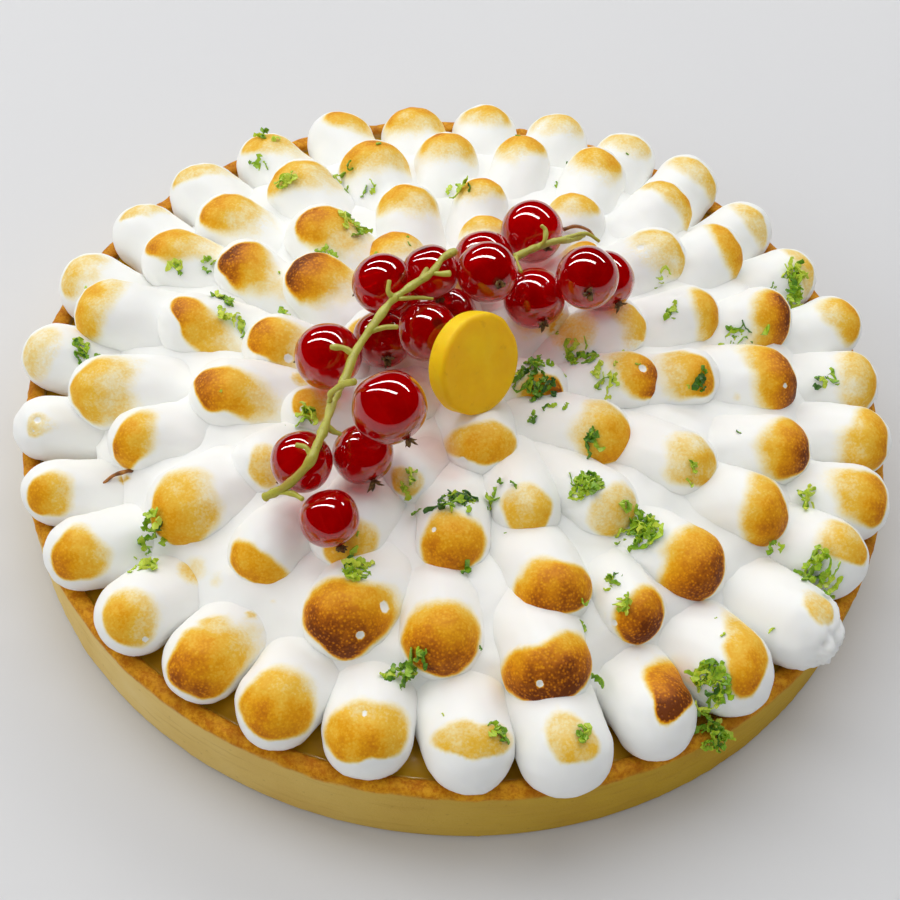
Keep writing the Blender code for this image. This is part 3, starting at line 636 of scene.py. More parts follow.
def meringue_look():
    look, tree, shader, place = new_look("torched_meringue")
    inside, char, pitted, juice = (
        put(tree, "ShaderNodeAttribute", {"attribute_name": label}).outputs["Fac"]
        for label in ("toasted", "char", "pitted", "juice")
    )
    flecks, rough = grain_of(tree, place, 2000)
    froth = put(tree, "ShaderNodeTexVoronoi", {"feature": "F1"}, Vector=place, Scale=1700).outputs["Distance"]
    froth = sums(tree, "SUBTRACT", between(tree, froth, 0.10, 0.55), 0.5)
    waver = sums(tree, "SUBTRACT", cloud(tree, place, 380, 4.0, 0.6), 0.5)
    edge = between(tree, sums(tree, "MULTIPLY_ADD", waver, 0.6, inside), 0.0, 1.0)
    edge = sums(tree, "MULTIPLY", edge, sums(tree, "SUBTRACT", 1.0, between(tree, pitted, 0.0, 0.30)))
    strong = sums(tree, "MULTIPLY", char, char)
    depth = sums(tree, "MULTIPLY_ADD", sums(tree, "SUBTRACT", flecks, 0.5), 0.12, char)
    depth = sums(tree, "MULTIPLY_ADD", sums(tree, "MULTIPLY", froth, strong), 0.30, depth)
    depth = sums(tree, "MULTIPLY", depth, edge)
    colour = shades(
        tree,
        depth,
        (
            (0.0, swatch(250, 250, 246)), (0.08, swatch(250, 241, 214)), (0.22, swatch(245, 222, 156)),
            (0.38, swatch(242, 194, 66)), (0.54, swatch(236, 166, 14)), (0.70, swatch(214, 132, 6)),
            (0.84, swatch(176, 96, 6)), (1.0, swatch(116, 54, 6)),
        ),
    )
    # Painted light, partly stain: a pink tint for red light through the berries and for currant juice.
    colour = tinted(tree, sums(tree, "MULTIPLY", juice, 0.55), colour, swatch(214, 150, 142))
    tree.links.new(colour, shader.inputs["Base Color"])
    wet = sums(tree, "MULTIPLY_ADD", juice, -0.25, 0.42)
    tree.links.new(sums(tree, "MULTIPLY_ADD", edge, 0.14, wet), shader.inputs["Roughness"])
    shader.inputs["Specular IOR Level"].default_value = 0.16
    shader.inputs["Subsurface Weight"].default_value = 0.14
    shader.inputs["Subsurface Radius"].default_value = (1.0, 0.85, 0.6)
    shader.inputs["Subsurface Scale"].default_value = 0.0015
    pores = sums(tree, "MULTIPLY", froth, sums(tree, "MULTIPLY", edge, strong))
    lift = sums(tree, "MULTIPLY_ADD", rough, sums(tree, "MULTIPLY_ADD", edge, 0.55, 0.08), pores)
    tree.links.new(bumped(tree, lift, 0.5, 0.00018), shader.inputs["Normal"])
    return look


# The thin layer under the dollops fills what shows between them.
bed_profile = stepped(
    [
        (0.0, SEAT), (65.0 * MM, SEAT), (67.0 * MM, 15.5 * MM), (66.7 * MM, 18.8 * MM), (60 * MM, 23.4 * MM),
        (44 * MM, 25.8 * MM), (24 * MM, 26.0 * MM), (10 * MM, 23.4 * MM), (0.0, 22.6 * MM),
    ],
    1.2 * MM,
)
bed_rings = turned(bed_profile, 300)
bed_top = np.clip((bed_rings[..., 2] - 16 * MM) / (3 * MM), 0, 1)
bed_rings[..., 2] += bed_top * (0.4 * unevenness(bed_rings, 14 * MM, 41) + 0.15 * unevenness(bed_rings, 5 * MM, 42)) * MM
meringue_skin = meringue_look()


def marked(piece, **layers):
    """Numbers kept at a piece's points for its look to read."""
    for label, values in layers.items():
        layer = piece.data.attributes.new(label, "FLOAT", "POINT")
        layer.data.foreach_set("value", skin_points(values[..., None]).ravel().astype(np.float32))


bed = make_piece("meringue_bed", skin_points(bed_rings), *skin_faces(1, *bed_rings.shape[1:3]), meringue_skin)
# Scorch on the bed, with painted shadow under the raised berries.
scorch_and_shadow = spread(bed_rings, SCORCH_AND_SHADOW)
marked(bed, toasted=3 * scorch_and_shadow - 0.4, char=scorch_and_shadow, pitted=-np.ones_like(scorch_and_shadow), juice=spread(bed_rings, JUICE_AND_RED_LIGHT))
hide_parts("meringue")
for name, rings_in, rows, around in (
    ("rim_dollops", (0,), 40, 72), ("second_ring_dollops", (1,), 48, 84), ("third_ring_dollops", (2,), 52, 90),
    ("crown_dollops", (3, 4, 5), 48, 84),
):
    which = np.flatnonzero(np.isin(ring_of, rings_in))
    shape = settle(dollop_rings(which, rows, around))
    piece = make_piece(name, skin_points(shape), *skin_faces(*shape.shape[:3]), meringue_skin)
    toasted, char, pitted = toasting(shape, which)
    marked(piece, toasted=toasted, char=char, pitted=pitted, juice=spread(shape, JUICE_AND_RED_LIGHT))
    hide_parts("meringue")


# ---- The redcurrants ----
# Ripe berries, glossy and half clear, pale veins running from stalk to tip and a dried brown tuft
# of the old flower at the tip. They lie in two layers in the dip at the middle.
# For each berry, the way its tip points.
BERRY_TIPS = (
    (0.3, -0.6, 0.2), (0.2, -0.5, -0.5), (0.35, -0.75, 0.35), (0.0, -0.7, 0.2), (0.4, -0.7, -0.1),
    (0.3, -0.8, -0.1), (-0.6, 0.2, -0.5), (0.3, -0.3, -0.7), (0.2, -0.6, -0.3), (-0.3, 0.3, -0.7),
    (-0.7, 0.2, -0.5), (0.5, -0.6, -0.35), (0.35, -0.7, -0.2), (-0.5, -0.1, -0.7), (0.4, -0.6, -0.6),
    (0.2, -0.7, 0.1), (-0.2, -0.6, -0.3),
)
berry_boxes = np.array([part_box(f"currant_{number:02d}") for number in range(1, len(BERRY_TIPS) + 1)])
berry_centres = berry_boxes.mean(axis=1)
berry_radii = (berry_boxes[:, 1, 2] - berry_boxes[:, 0, 2]) / 2
berry_tips = np.array(BERRY_TIPS)
berry_tips /= np.linalg.norm(berry_tips, axis=1, keepdims=True)


def berry_look():
    look, tree, shader, place = new_look("redcurrant_skin")
    round_it = put(tree, "ShaderNodeAttribute", {"attribute_name": "meridian"}).outputs["Vector"]
    parts = put(tree, "ShaderNodeSeparateXYZ", Vector=round_it)
    veins = sums(tree, "ABSOLUTE", sums(tree, "SINE", sums(tree, "MULTIPLY", parts.outputs["X"], 5.0)))
    veins = sums(tree, "SUBTRACT", 1.0, between(tree, veins, 0.0, 0.30))
    mottle = cloud(tree, place, 160, 3.0)
    colour = shades(tree, mottle, ((0.3, swatch(172, 0, 2)), (0.7, swatch(212, 0, 4))))
    colour = tinted(tree, sums(tree, "MULTIPLY", veins, 0.16), colour, swatch(228, 30, 20))
    at_ends = between(tree, sums(tree, "ABSOLUTE", sums(tree, "COSINE", parts.outputs["Y"])), 0.965, 0.995)
    colour = tinted(tree, sums(tree, "MULTIPLY", at_ends, 0.7), colour, swatch(92, 30, 14))
    tree.links.new(colour, shader.inputs["Base Color"])
    shader.inputs["Roughness"].default_value = 0.03
    shader.inputs["IOR"].default_value = 1.45
    shader.inputs["Coat Weight"].default_value = 1.0
    shader.inputs["Coat IOR"].default_value = 1.55
    shader.inputs["Coat Roughness"].default_value = 0.02
    shader.inputs["Transmission Weight"].default_value = 0.5
    shader.inputs["Subsurface Weight"].default_value = 0.3
    shader.inputs["Subsurface Radius"].default_value = (1.0, 0.03, 0.03)
    shader.inputs["Subsurface Scale"].default_value = 0.003
    return look


def ball_rings(centre, radius, axis, rows, around):
    """A ball as rings carried from one end of its axis to the other, with a shallow dimple at each."""
    side = np.cross(axis, (0.31, 0.17, 0.93))
    side /= np.linalg.norm(side)
    other = np.cross(axis, side)
    turn = np.linspace(0, np.pi, rows)
    angle = np.linspace(0, 2 * np.pi, around, endpoint=False)
    along = -np.cos(turn) * (1 - 0.05 * np.cos(turn) ** 6)
    out = np.sin(turn)[:, None, None]
    ring = along[:, None, None] * axis + out * (
        np.cos(angle)[:, None] * side + np.sin(angle)[:, None] * other
    )
    meridian = np.stack(np.broadcast_arrays(angle, turn[:, None], 0.0), axis=-1)
    return centre + radius * ring, meridian


berry_skin = berry_look()
for number, (centre, radius, tip) in enumerate(zip(berry_centres, berry_radii, berry_tips), start=1):
    shape, meridian = ball_rings(centre, radius, tip, 40, 64)
    shape = shape + (shape - centre) * 0.012 * unevenness(shape + number, 7 * MM, 50 + number)[..., None]
    berry = make_piece(f"redcurrant_{number:02d}", skin_points(shape[None]), *skin_faces(1, 40, 64), berry_skin)
    layer = berry.data.attributes.new("meridian", "FLOAT_VECTOR", "POINT")
    layer.data.foreach_set("vector", skin_points(meridian[None]).ravel().astype(np.float32))
    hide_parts(f"currant_{number:02d}")


# ---- The dried flower tufts ----
# At its tip each currant keeps the shrivelled flower: a dry brown tuft of thin pointed sepals, fused
# at the base and splayed where they end.
SEPALS = 7
SEPAL_STEPS = 6


def tuft_rings():
    """Every sepal as rings carried along a curved line: it leaves the berry's tip along its axis and
    bends outwards by a random amount, narrowing from its base to a point."""
    random = np.random.default_rng(23)
    count = len(berry_tips)
    share = np.linspace(0, 1, SEPAL_STEPS)[:, None]
    turn = np.linspace(0, 2 * np.pi, SEPALS, endpoint=False) + random.uniform(-0.4, 0.4, (count, SEPALS))
    side = unit(np.cross(berry_tips, (0.31, 0.17, 0.93)))
    other = np.cross(berry_tips, side)
    spoke = np.cos(turn)[..., None] * side[:, None] + np.sin(turn)[..., None] * other[:, None]
    reach = random.uniform(0.9, 1.9, (count, SEPALS))[..., None, None] * MM
    splay = random.uniform(0.1, 0.95, (count, SEPALS))[..., None, None]
    base = (berry_centres + berry_tips * berry_radii[:, None] * 0.95)[:, None, None]
    axis = berry_tips[:, None, None]
    spoke = spoke[:, :, None]
    twist = np.cross(axis, spoke) * random.uniform(-0.5, 0.5, (count, SEPALS))[..., None, None]
    line = base + spoke * 0.35 * MM + reach * (axis * (share - 0.35 * splay * share**2) + (spoke * splay + twist) * share**2)
    line = line.reshape(-1, SEPAL_STEPS, 3)
    ways = unit(np.gradient(line, axis=1))
    flat = unit(np.cross(ways, np.repeat(np.repeat(berry_tips, SEPALS, axis=0)[:, None], SEPAL_STEPS, axis=1) + 0.01))
    thick = np.cross(flat, ways)
    width = (np.array((0.34, 0.48, 0.50, 0.42, 0.30, 0.14)) * MM)[None, :, None]
    angle = np.linspace(0, 2 * np.pi, 6, endpoint=False)[:, None]
    ring = flat[:, :, None] * np.cos(angle) * width[..., None] + thick[:, :, None] * np.sin(angle) * 0.35 * width[..., None]
    return line[:, :, None] + ring


def tuft_look():
    look, tree, shader, place = new_look("dried_flower")
    drifts = cloud(tree, place, 1400, 3.0)
    colour = shades(tree, drifts, ((0.3, swatch(52, 34, 16)), (0.5, swatch(104, 74, 34)), (0.72, swatch(150, 122, 66))))
    tree.links.new(colour, shader.inputs["Base Color"])
    shader.inputs["Roughness"].default_value = 0.8
    tree.links.new(bumped(tree, drifts, 0.5, 0.0001), shader.inputs["Normal"])
    return look


tufts = tuft_rings()
flower_tufts = make_piece("flower_tufts", skin_points(tufts), *skin_faces(*tufts.shape[:3]), tuft_look())


# ---- The strigs ----
# The currants' green stalks: one long main stalk with short pedicels reaching for the berries, and a shorter one at the
# side. Yellow green, browner in drifts and flecks.
MAIN_STRIG_MM = (
    (0.85, 0.80, ((-29.5, -40.5, 35.4), (-26, -40, 38.4), (-23, -38, 41.4), (-22, -35.5, 42.4),
                  (-21, -29.5, 41.9), (-20.5, -24.5, 41.4), (-19, -19.5, 41.9), (-18, -15, 42.9),
                  (-16, -10.5, 43.9), (-13.5, -6, 45.4), (-12, -4.5, 46.4), (-9.5, -2, 46.9),
                  (-6.5, 1.5, 46.9), (-5, 5.5, 46.4), (-3, 8, 45.9))),
    (0.60, 0.45, ((-12.5, -4.5, 45.9), (-13.5, -4.5, 47.4), (-13.5, -3, 48.4))),
    (0.70, 0.50, ((-18.5, -15, 42.9), (-20, -14.5, 43.4), (-22, -14.5, 43.4))),
    (0.60, 0.50, ((-15.5, -10.5, 43.9), (-13.5, -9.5, 43.9), (-11.5, -8.7, 43.4))),
    (0.60, 0.65, ((-21, -25, 41.9), (-20.5, -25.5, 44.9), (-18.5, -26.5, 48.4), (-16.7, -27.5, 50.4))),
    (0.60, 0.55, ((-21, -30, 41.9), (-19.7, -30.3, 40.9), (-18.6, -30.3, 40.4))),
    (0.60, 0.45, ((-22.5, -36.5, 41.9), (-23.5, -35.4, 42.7), (-25, -35, 42.6))),
    (0.45, 0.35, ((-11.5, -5, 46.4), (-9, -3.2, 45.1), (-6, -2.4, 44.4))),
    (0.55, 0.50, ((-27.5, -40.5, 36.9), (-25, -41.2, 38), (-23.2, -42.5, 38.6))),
    (0.60, 0.60, ((-6.5, 1.3, 46.8), (-5, 1, 47.1), (-3.5, 1, 47.4))),
    (0.50, 0.45, ((-9, -1.8, 46.9), (-8, 0.5, 46.9), (-7.5, 2.5, 46.4))),
)
SIDE_STRIG_MM = (
    (0.80, 0.60, ((8, 15, 38.9), (11, 17.5, 38.9), (15, 20, 38.9), (18.5, 22.5, 37.4), (20.5, 24.5, 36.9))),
    (0.45, 0.40, ((17, 21.7, 38.4), (20, 24, 37.6), (21.5, 24.5, 37.1), (23.5, 24, 36.1))),
    (0.60, 0.50, ((12, 17.8, 38.9), (13, 18.5, 40.4), (13, 20, 41.4), (12.2, 20.5, 42))),
    (0.50, 0.40, ((8, 15, 38.9), (8.2, 11.5, 40.6), (9, 9.2, 41.2))),
)


def smooth_line(knots, steps):
    """A smooth curve through every knot, with this many steps between each two."""
    knots = np.vstack([2 * knots[0] - knots[1], knots, 2 * knots[-1] - knots[-2]])
    line = []
    for k in range(1, len(knots) - 2):
        a, b, c, d = knots[k - 1 : k + 3]
        t = np.linspace(0, 1, steps, endpoint=False)[:, None]
        line.append(0.5 * (2 * b + (c - a) * t + (2 * a - 5 * b + 4 * c - d) * t**2 + (3 * b - a - 3 * c + d) * t**3))
    return np.vstack(line + [knots[-2][None]])


def stalk_rings(path_mm, start_radius, end_radius, around):
    """A round stem carried along a smooth line: its radius eases from end to end and swells by
    smooth unevenness, and each end draws in to a point over a rounded cap."""
    line = smooth_line(np.array(path_mm, float) * MM, 8)
    ways = np.gradient(line, axis=0)
    ways /= np.linalg.norm(ways, axis=1, keepdims=True)
    side = np.cross(ways, (0.31, 0.17, 0.93))
    side /= np.linalg.norm(side, axis=1, keepdims=True)
    other = np.cross(ways, side)
    share = np.linspace(0, 1, len(line))
    radius = (start_radius + (end_radius - start_radius) * share) * MM
    radius = radius * (0.86 + 0.14 * unevenness(line, 2.5 * MM, 61))
    caps = np.array([0.0, 0.6, 0.9])
    centres = np.vstack([
        line[0] - ways[0] * radius[0] * np.array([[0.55], [0.45], [0.2]]),
        line,
        line[-1] + ways[-1] * radius[-1] * np.array([[0.2], [0.45], [0.55]]),
    ])
    sides = np.vstack([np.repeat(side[:1], 3, axis=0), side, np.repeat(side[-1:], 3, axis=0)])
    others = np.vstack([np.repeat(other[:1], 3, axis=0), other, np.repeat(other[-1:], 3, axis=0)])
    radii = np.concatenate([radius[0] * caps, radius, radius[-1] * caps[::-1]])
    angle = np.linspace(0, 2 * np.pi, around, endpoint=False)
    ring = np.cos(angle)[:, None] * sides[:, None] + np.sin(angle)[:, None] * others[:, None]
    return centres[:, None] + radii[:, None, None] * ring


def joined(skins):
    """Several skins' points and faces as one mesh."""
    points, quads, triangles, base = [], [], [], 0
    for rings in skins:
        some = skin_points(rings)
        some_quads, some_triangles = skin_faces(*rings.shape[:3])
        points.append(some)
        quads.append(some_quads + base)
        triangles.append(some_triangles + base)
        base += len(some)
    return np.vstack(points), np.vstack(quads), np.vstack(triangles)


def strig_look():
    look, tree, shader, place = new_look("strig_green")
    long_drift = cloud(tree, place, 120, 3.0)
    flecks = cloud(tree, place, 1500, 3.0)
    green = shades(tree, long_drift, ((0.30, swatch(172, 138, 60)), (0.44, swatch(176, 172, 50)), (0.7, swatch(196, 196, 86))))
    colour = tinted(tree, sums(tree, "MULTIPLY", between(tree, flecks, 0.55, 0.75), 0.5), green, swatch(124, 96, 30))
    tree.links.new(colour, shader.inputs["Base Color"])
    shader.inputs["Roughness"].default_value = 0.45
    shader.inputs["Subsurface Weight"].default_value = 0.15
    shader.inputs["Subsurface Scale"].default_value = 0.001
    tree.links.new(bumped(tree, flecks, 0.4, 0.0002), shader.inputs["Normal"])
    return look


strig_skin = strig_look()
for name, node, paths in (
    ("main_stalk", "main_strig", MAIN_STRIG_MM),
    ("side_stalk", "side_strig", SIDE_STRIG_MM),
):
    stalk = make_piece(name, *joined([stalk_rings(path, a, b, 16)[None] for a, b, path in paths]), strig_skin)
    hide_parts(node)


# ---- The lemon disc ----
# A small round of set lemon, cut with a plain cutter, standing on edge against the berries.
DISC_CENTRE = np.array((0.0033, -0.0122, 0.0396))
DISC_RADIUS = 0.0089
DISC_THICK = 0.0038
DISC_FACING = np.array((0.683, -0.570, 0.453))


def disc_look():
    look, tree, shader, place = new_look("set_lemon")
    face = put(tree, "ShaderNodeAttribute", {"attribute_name": "face"}).outputs["Fac"]
    drifts = cloud(tree, place, 160, 3.0)
    flecks, rough = grain_of(tree, place, 1300)
    # Painted light and shade: the rim gets a brighter yellow as if lit, and the flat face a deeper orange-yellow as if
    # in shade.
    side = shades(tree, drifts, ((0.3, swatch(255, 200, 0)), (0.7, swatch(255, 214, 14))))
    painted_shade_face_colour = shades(tree, drifts, ((0.3, swatch(244, 182, 0)), (0.52, swatch(250, 192, 2)), (0.72, swatch(255, 204, 10))))
    colour = tinted(tree, face, side, painted_shade_face_colour)
    darker_share = between(tree, cloud(tree, place, 420, 4.0, 0.65), 0.58, 0.74)
    colour = tinted(tree, sums(tree, "MULTIPLY", darker_share, 0.30), colour, swatch(186, 116, 6))
    colour = tinted(tree, sums(tree, "MULTIPLY", flecks, 0.14), colour, swatch(250, 206, 50))
    tree.links.new(colour, shader.inputs["Base Color"])
    shader.inputs["Roughness"].default_value = 0.55
    shader.inputs["Specular IOR Level"].default_value = 0.2
    shader.inputs["Subsurface Weight"].default_value = 0.5
    shader.inputs["Subsurface Radius"].default_value = (1.0, 0.6, 0.05)
    shader.inputs["Subsurface Scale"].default_value = 0.003
    tree.links.new(bumped(tree, rough, 0.4, 0.0002), shader.inputs["Normal"])
    return look


facing = DISC_FACING / np.linalg.norm(DISC_FACING)
across = np.cross((0.0, 0.0, 1.0), facing)
across /= np.linalg.norm(across)
upward = np.cross(facing, across)
disc_profile = stepped(
    [
        (0.0, -DISC_THICK), (DISC_RADIUS - 0.7 * MM, -DISC_THICK), (DISC_RADIUS - 0.2 * MM, -DISC_THICK + 0.15 * MM),
        (DISC_RADIUS, -DISC_THICK + 0.6 * MM), (DISC_RADIUS, -0.6 * MM), (DISC_RADIUS - 0.2 * MM, -0.15 * MM),
        (DISC_RADIUS - 0.7 * MM, 0.0), (0.0, 0.0),
    ],
    0.35 * MM,
)
flat_disc = turned(disc_profile, 96)
flat_disc = flat_disc + 0.08 * MM * unevenness(flat_disc, 5 * MM, 71)[..., None] * (1, 1, 1)
disc_rings = DISC_CENTRE + flat_disc @ np.stack([across, upward, facing])
disc = make_piece("lemon_round", skin_points(disc_rings), *skin_faces(1, *disc_rings.shape[1:3]), disc_look())
# Marks the flat face, which the look paints in shade.
painted_shade_face = eased((flat_disc[..., 2] + 0.75 * MM) / (0.6 * MM))
marked(disc, face=painted_shade_face)
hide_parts("lemon_disc")


# ---- The lime zest ----
# Lime peel rasped on a coarse grater and scattered last: ragged curling shreds a few millimetres
# long, bright yellow green on the pith side and dark green on the skin side, loose in clumps.
# Each clump: x, y in millimetres, how far it spreads, how many shreds, and how dark its green is.
ZEST_CLUMPS = (
    (-69, -3, 2.8, 12, 0.60), (64, 31, 3.6, 30, 0.42), (50, 11, 3.4, 15, 0.55), (63, -38, 3.9, 24, 0.50),
    (43, -59.5, 2.6, 18, 0.45), (45, -62.5, 2.6, 20, 0.50), (46, -65.5, 2.2, 18, 0.55), (32, -35, 4.0, 36, 0.55), (22, -29, 3.6, 22, 0.50),
    (12, -4, 3.4, 16, 0.75), (15, -7, 2.6, 10, 0.85), (21, 2, 3.0, 14, 0.60), (26, -4, 2.6, 10, 0.30),
    (0, -35, 3.2, 15, 0.85), (3.5, -34, 1.8, 6, 0.7), (-15, -49, 3.2, 16, 0.40), (-48, -42, 2.8, 10, 0.70),
    (-49, -47, 2.8, 14, 0.25), (24, -19, 2.4, 6, 0.85), (-5, -62, 3.0, 9, 0.60), (-7, -64, 2.0, 5, 0.45),
    (67, 5, 2.8, 7, 0.60), (62, -22, 2.9, 6, 0.35), (5, -46, 1.8, 5, 0.65), (6, -48, 1.6, 3, 0.4),
    (23, -52, 2.0, 4, 0.60), (27, -63, 1.7, 6, 0.60), (11, -73, 1.7, 5, 0.55), (23, -73, 1.5, 4, 0.35),
    (-38, 40, 2.5, 8, 0.40), (-27, 45, 3.4, 8, 0.30), (-21, 42, 2.0, 5, 0.55), (-23, 28, 3.4, 9, 0.45),
    (-44, 7, 3.2, 8, 0.35), (-43, 2, 2.6, 7, 0.40), (-50, 17, 2.0, 4, 0.60), (-55, 17, 1.6, 3, 0.5),
    (-45, 50, 2.0, 4, 0.45), (-44, 57, 2.2, 4, 0.55), (37, 25, 2.2, 5, 0.45), (43, -2, 1.7, 4, 0.80),
    (41, -24, 2.0, 3, 0.40), (55, -33, 1.3, 3, 0.70), (-3, 43, 2.8, 5, 0.50), (-7, -31, 1.8, 5, 0.45),
    (-26, -19, 2.6, 7, 0.45), (-6, -35, 2.0, 4, 0.40), (27, -46, 2.2, 7, 0.40), (29, -50, 1.8, 5, 0.35),
    (38, 13, 2.0, 4, 0.4), (12, -14, 1.8, 4, 0.6), (17, -12, 1.6, 3, 0.7), (8, -31, 2.4, 6, 0.65),
    (-28, 21, 1.6, 3, 0.4), (16, 52, 1.8, 3, 0.4), (2, 50, 1.6, 2, 0.5), (-33, 5, 1.8, 3, 0.35),
)
STRAY_FLECKS = 46
ZEST_STEPS = 9


def top_of_pie(across):
    """Height of the dressed top under each point: the highest of the balls that the dollops' heads
    and tails are made of, or the bed, or the rim, and falling away outside the case."""
    share = np.linspace(0, 1, 4)[:, None]
    balls = (heads + (tails - heads) * share[..., None]).reshape(-1, 3)
    sizes = (head_radii + (tail_radii - head_radii) * share).reshape(-1)
    away = ((across[..., None, :2] - balls[:, :2]) ** 2).sum(-1)
    tops = np.where(away < sizes**2, balls[:, 2] + np.sqrt(np.maximum(sizes**2 - away, 0)), 0).max(-1)
    out = np.linalg.norm(across[..., :2], axis=-1)
    under = np.where(out < 66 * MM, 23 * MM, CASE_HEIGHT + np.minimum(0, -1.6 * (out - CASE_RADIUS)))
    return np.maximum(tops, under)


def zest_shreds():
    """Every shred as rings of four corners carried along a curling line: the line turns by a random
    bend at each step, lies on the top of the pie and lifts off it; the strip's width jumps from step
    to step, which gives it torn edges, and the strip twists as it goes."""
    random = np.random.default_rng(17)
    rows = [(x, y, size, dark) for x, y, size, count, dark in ZEST_CLUMPS for _ in range(count)]
    strays = random.uniform(-1, 1, (3 * STRAY_FLECKS, 2)) * 72
    strays = strays[np.linalg.norm(strays, axis=1) < 74]
    strays = strays[np.linalg.norm(strays - (-4, -6), axis=1) > 22][:STRAY_FLECKS]
    rows = np.array(rows + [(x, y, 0.3, 0.55) for x, y in strays])
    count = len(rows)
    loose = rows[:, 2] < 1
    swing = random.normal(size=(count, 2)) * 0.42
    swing *= rows[:, 2:3]
    length = random.uniform(1.6, 4.6, count) * np.where(loose, 0.32, 0.5 + 0.16 * rows[:, 2])
    first = random.uniform(0, 2 * np.pi, count)
    bend = random.normal(size=(count, 1)) * 0.30 + random.normal(size=(count, ZEST_STEPS)) * 0.28
    heading = first[:, None] + np.cumsum(bend, axis=1)
    step = (length / ZEST_STEPS)[:, None]
    line = np.stack([np.cumsum(np.cos(heading) * step, axis=1), np.cumsum(np.sin(heading) * step, axis=1)], axis=-1)
    line += (rows[:, :2] + swing)[:, None] - line.mean(axis=1, keepdims=True)
    line = line * MM
    pile = np.where(loose, 0.05, np.abs(random.normal(size=count)) * 0.26 * rows[:, 2]) * (
        np.exp(-((np.linalg.norm(swing, axis=1) / rows[:, 2]) ** 2))
    )
    wave = np.sin(np.linspace(0, 1, ZEST_STEPS) * random.uniform(3, 9, (count, 1)) + random.uniform(0, 6, (count, 1)))
    lift = (0.16 + pile[:, None] + 0.22 * (1 + wave) * ~loose[:, None]) * MM
    centres = np.concatenate([line, (top_of_pie(line) + lift)[..., None]], axis=-1)
    # A shred bridges hollows: it never drops more steeply than its own length lets it.
    centres[..., 2] = np.maximum(centres[..., 2], centres[..., 2].max(axis=1, keepdims=True) - 0.45 * length[:, None] * MM)
    ways = unit(np.gradient(centres, axis=1))
    side = unit(np.cross(ways, (0.0, 0.0, 1.0)))
    over = np.cross(side, ways)
    roll = random.uniform(-1.2, 1.2, (count, 1)) + np.cumsum(random.normal(size=(count, ZEST_STEPS)) * 0.35, axis=1)
    flat = side * np.cos(roll)[..., None] + over * np.sin(roll)[..., None]
    thick = over * np.cos(roll)[..., None] - side * np.sin(roll)[..., None]
    taper = np.array([0.45] + [1.0] * (ZEST_STEPS - 2) + [0.4])
    torn = random.uniform(0.12, 1.0, (2, count, ZEST_STEPS)) * taper * np.where(loose, 0.30, 0.80)[:, None]
    half = 0.09 * MM
    left, right = (flat * (torn[k] * sign * MM)[..., None] for k, sign in ((0, -1), (1, 1)))
    rings = np.stack([left - thick * half, right - thick * half, right + thick * half, left + thick * half], axis=2)
    rings = centres[:, :, None] + rings
    ends = [rings[:, :1] - ways[:, :1, None] * 0.1 * MM, rings[:, -1:] + ways[:, -1:, None] * 0.1 * MM]
    rings = np.concatenate([ends[0], rings, ends[1]], axis=1)
    dark = np.clip(rows[:, 3] - 0.08 + random.normal(size=count) * 0.22, 0, 1)
    dark = np.broadcast_to(dark[:, None, None], rings.shape[:3]) + np.array((0.12, 0.12, -0.12, -0.12))
    return rings, dark


def zest_look():
    look, tree, shader, place = new_look("lime_zest")
    dark = put(tree, "ShaderNodeAttribute", {"attribute_name": "darkness"}).outputs["Fac"]
    patches = cloud(tree, place, 900, 3.0)
    depth = sums(tree, "MULTIPLY_ADD", sums(tree, "SUBTRACT", patches, 0.5), 0.9, dark)
    colour = shades(
        tree,
        depth,
        (
            (0.0, swatch(206, 222, 70)), (0.25, swatch(176, 204, 34)), (0.5, swatch(134, 176, 20)),
            (0.75, swatch(84, 136, 12)), (1.0, swatch(44, 92, 12)),
        ),
    )
    tree.links.new(colour, shader.inputs["Base Color"])
    shader.inputs["Roughness"].default_value = 0.5
    shader.inputs["Subsurface Weight"].default_value = 0.25
    shader.inputs["Subsurface Radius"].default_value = (0.6, 1.0, 0.1)
    shader.inputs["Subsurface Scale"].default_value = 0.0006
    tree.links.new(bumped(tree, cloud(tree, place, 2600, 2.0), 0.5, 0.0001), shader.inputs["Normal"])
    return look


shreds, shred_dark = zest_shreds()
zest = make_piece("lime_zest", skin_points(shreds), *skin_faces(*shreds.shape[:3]), zest_look(), smooth=False)
marked(zest, darkness=shred_dark)


# ---- The burnt curls ----
# Thin ends of meringue that the nozzle pulled out stand off two dollops, scorched brown in patches. Each: a line in
# millimetres, radius at its root and at its tip.
BURNT_CURLS_MM = (
    (0.55, 0.25, ((-54.4, -27.2, 21.4), (-55.2, -28.2, 22.3), (-56.4, -28.8, 22.4), (-58.0, -29.4, 22.0),
                  (-59.2, -30.6, 21.6), (-60.2, -31.6, 21.4))),
    (0.50, 0.22, ((17.4, 32.6, 30.2), (19.6, 33.0, 30.9), (22.0, 32.4, 30.8), (23.6, 31.2, 30.0))),
)


def burnt_look():
    look, tree, shader, place = new_look("scorched_meringue")
    drifts = cloud(tree, place, 700, 3.0)
    colour = shades(tree, drifts, ((0.32, swatch(92, 48, 14)), (0.55, swatch(168, 104, 30)), (0.75, swatch(214, 158, 70))))
    tree.links.new(colour, shader.inputs["Base Color"])
    shader.inputs["Roughness"].default_value = 0.6
    tree.links.new(bumped(tree, drifts, 0.4, 0.0002), shader.inputs["Normal"])
    return look


burnt_curls = make_piece(
    "burnt_curls", *joined([stalk_rings(path, a, b, 12)[None] for a, b, path in BURNT_CURLS_MM]), burnt_look()
)


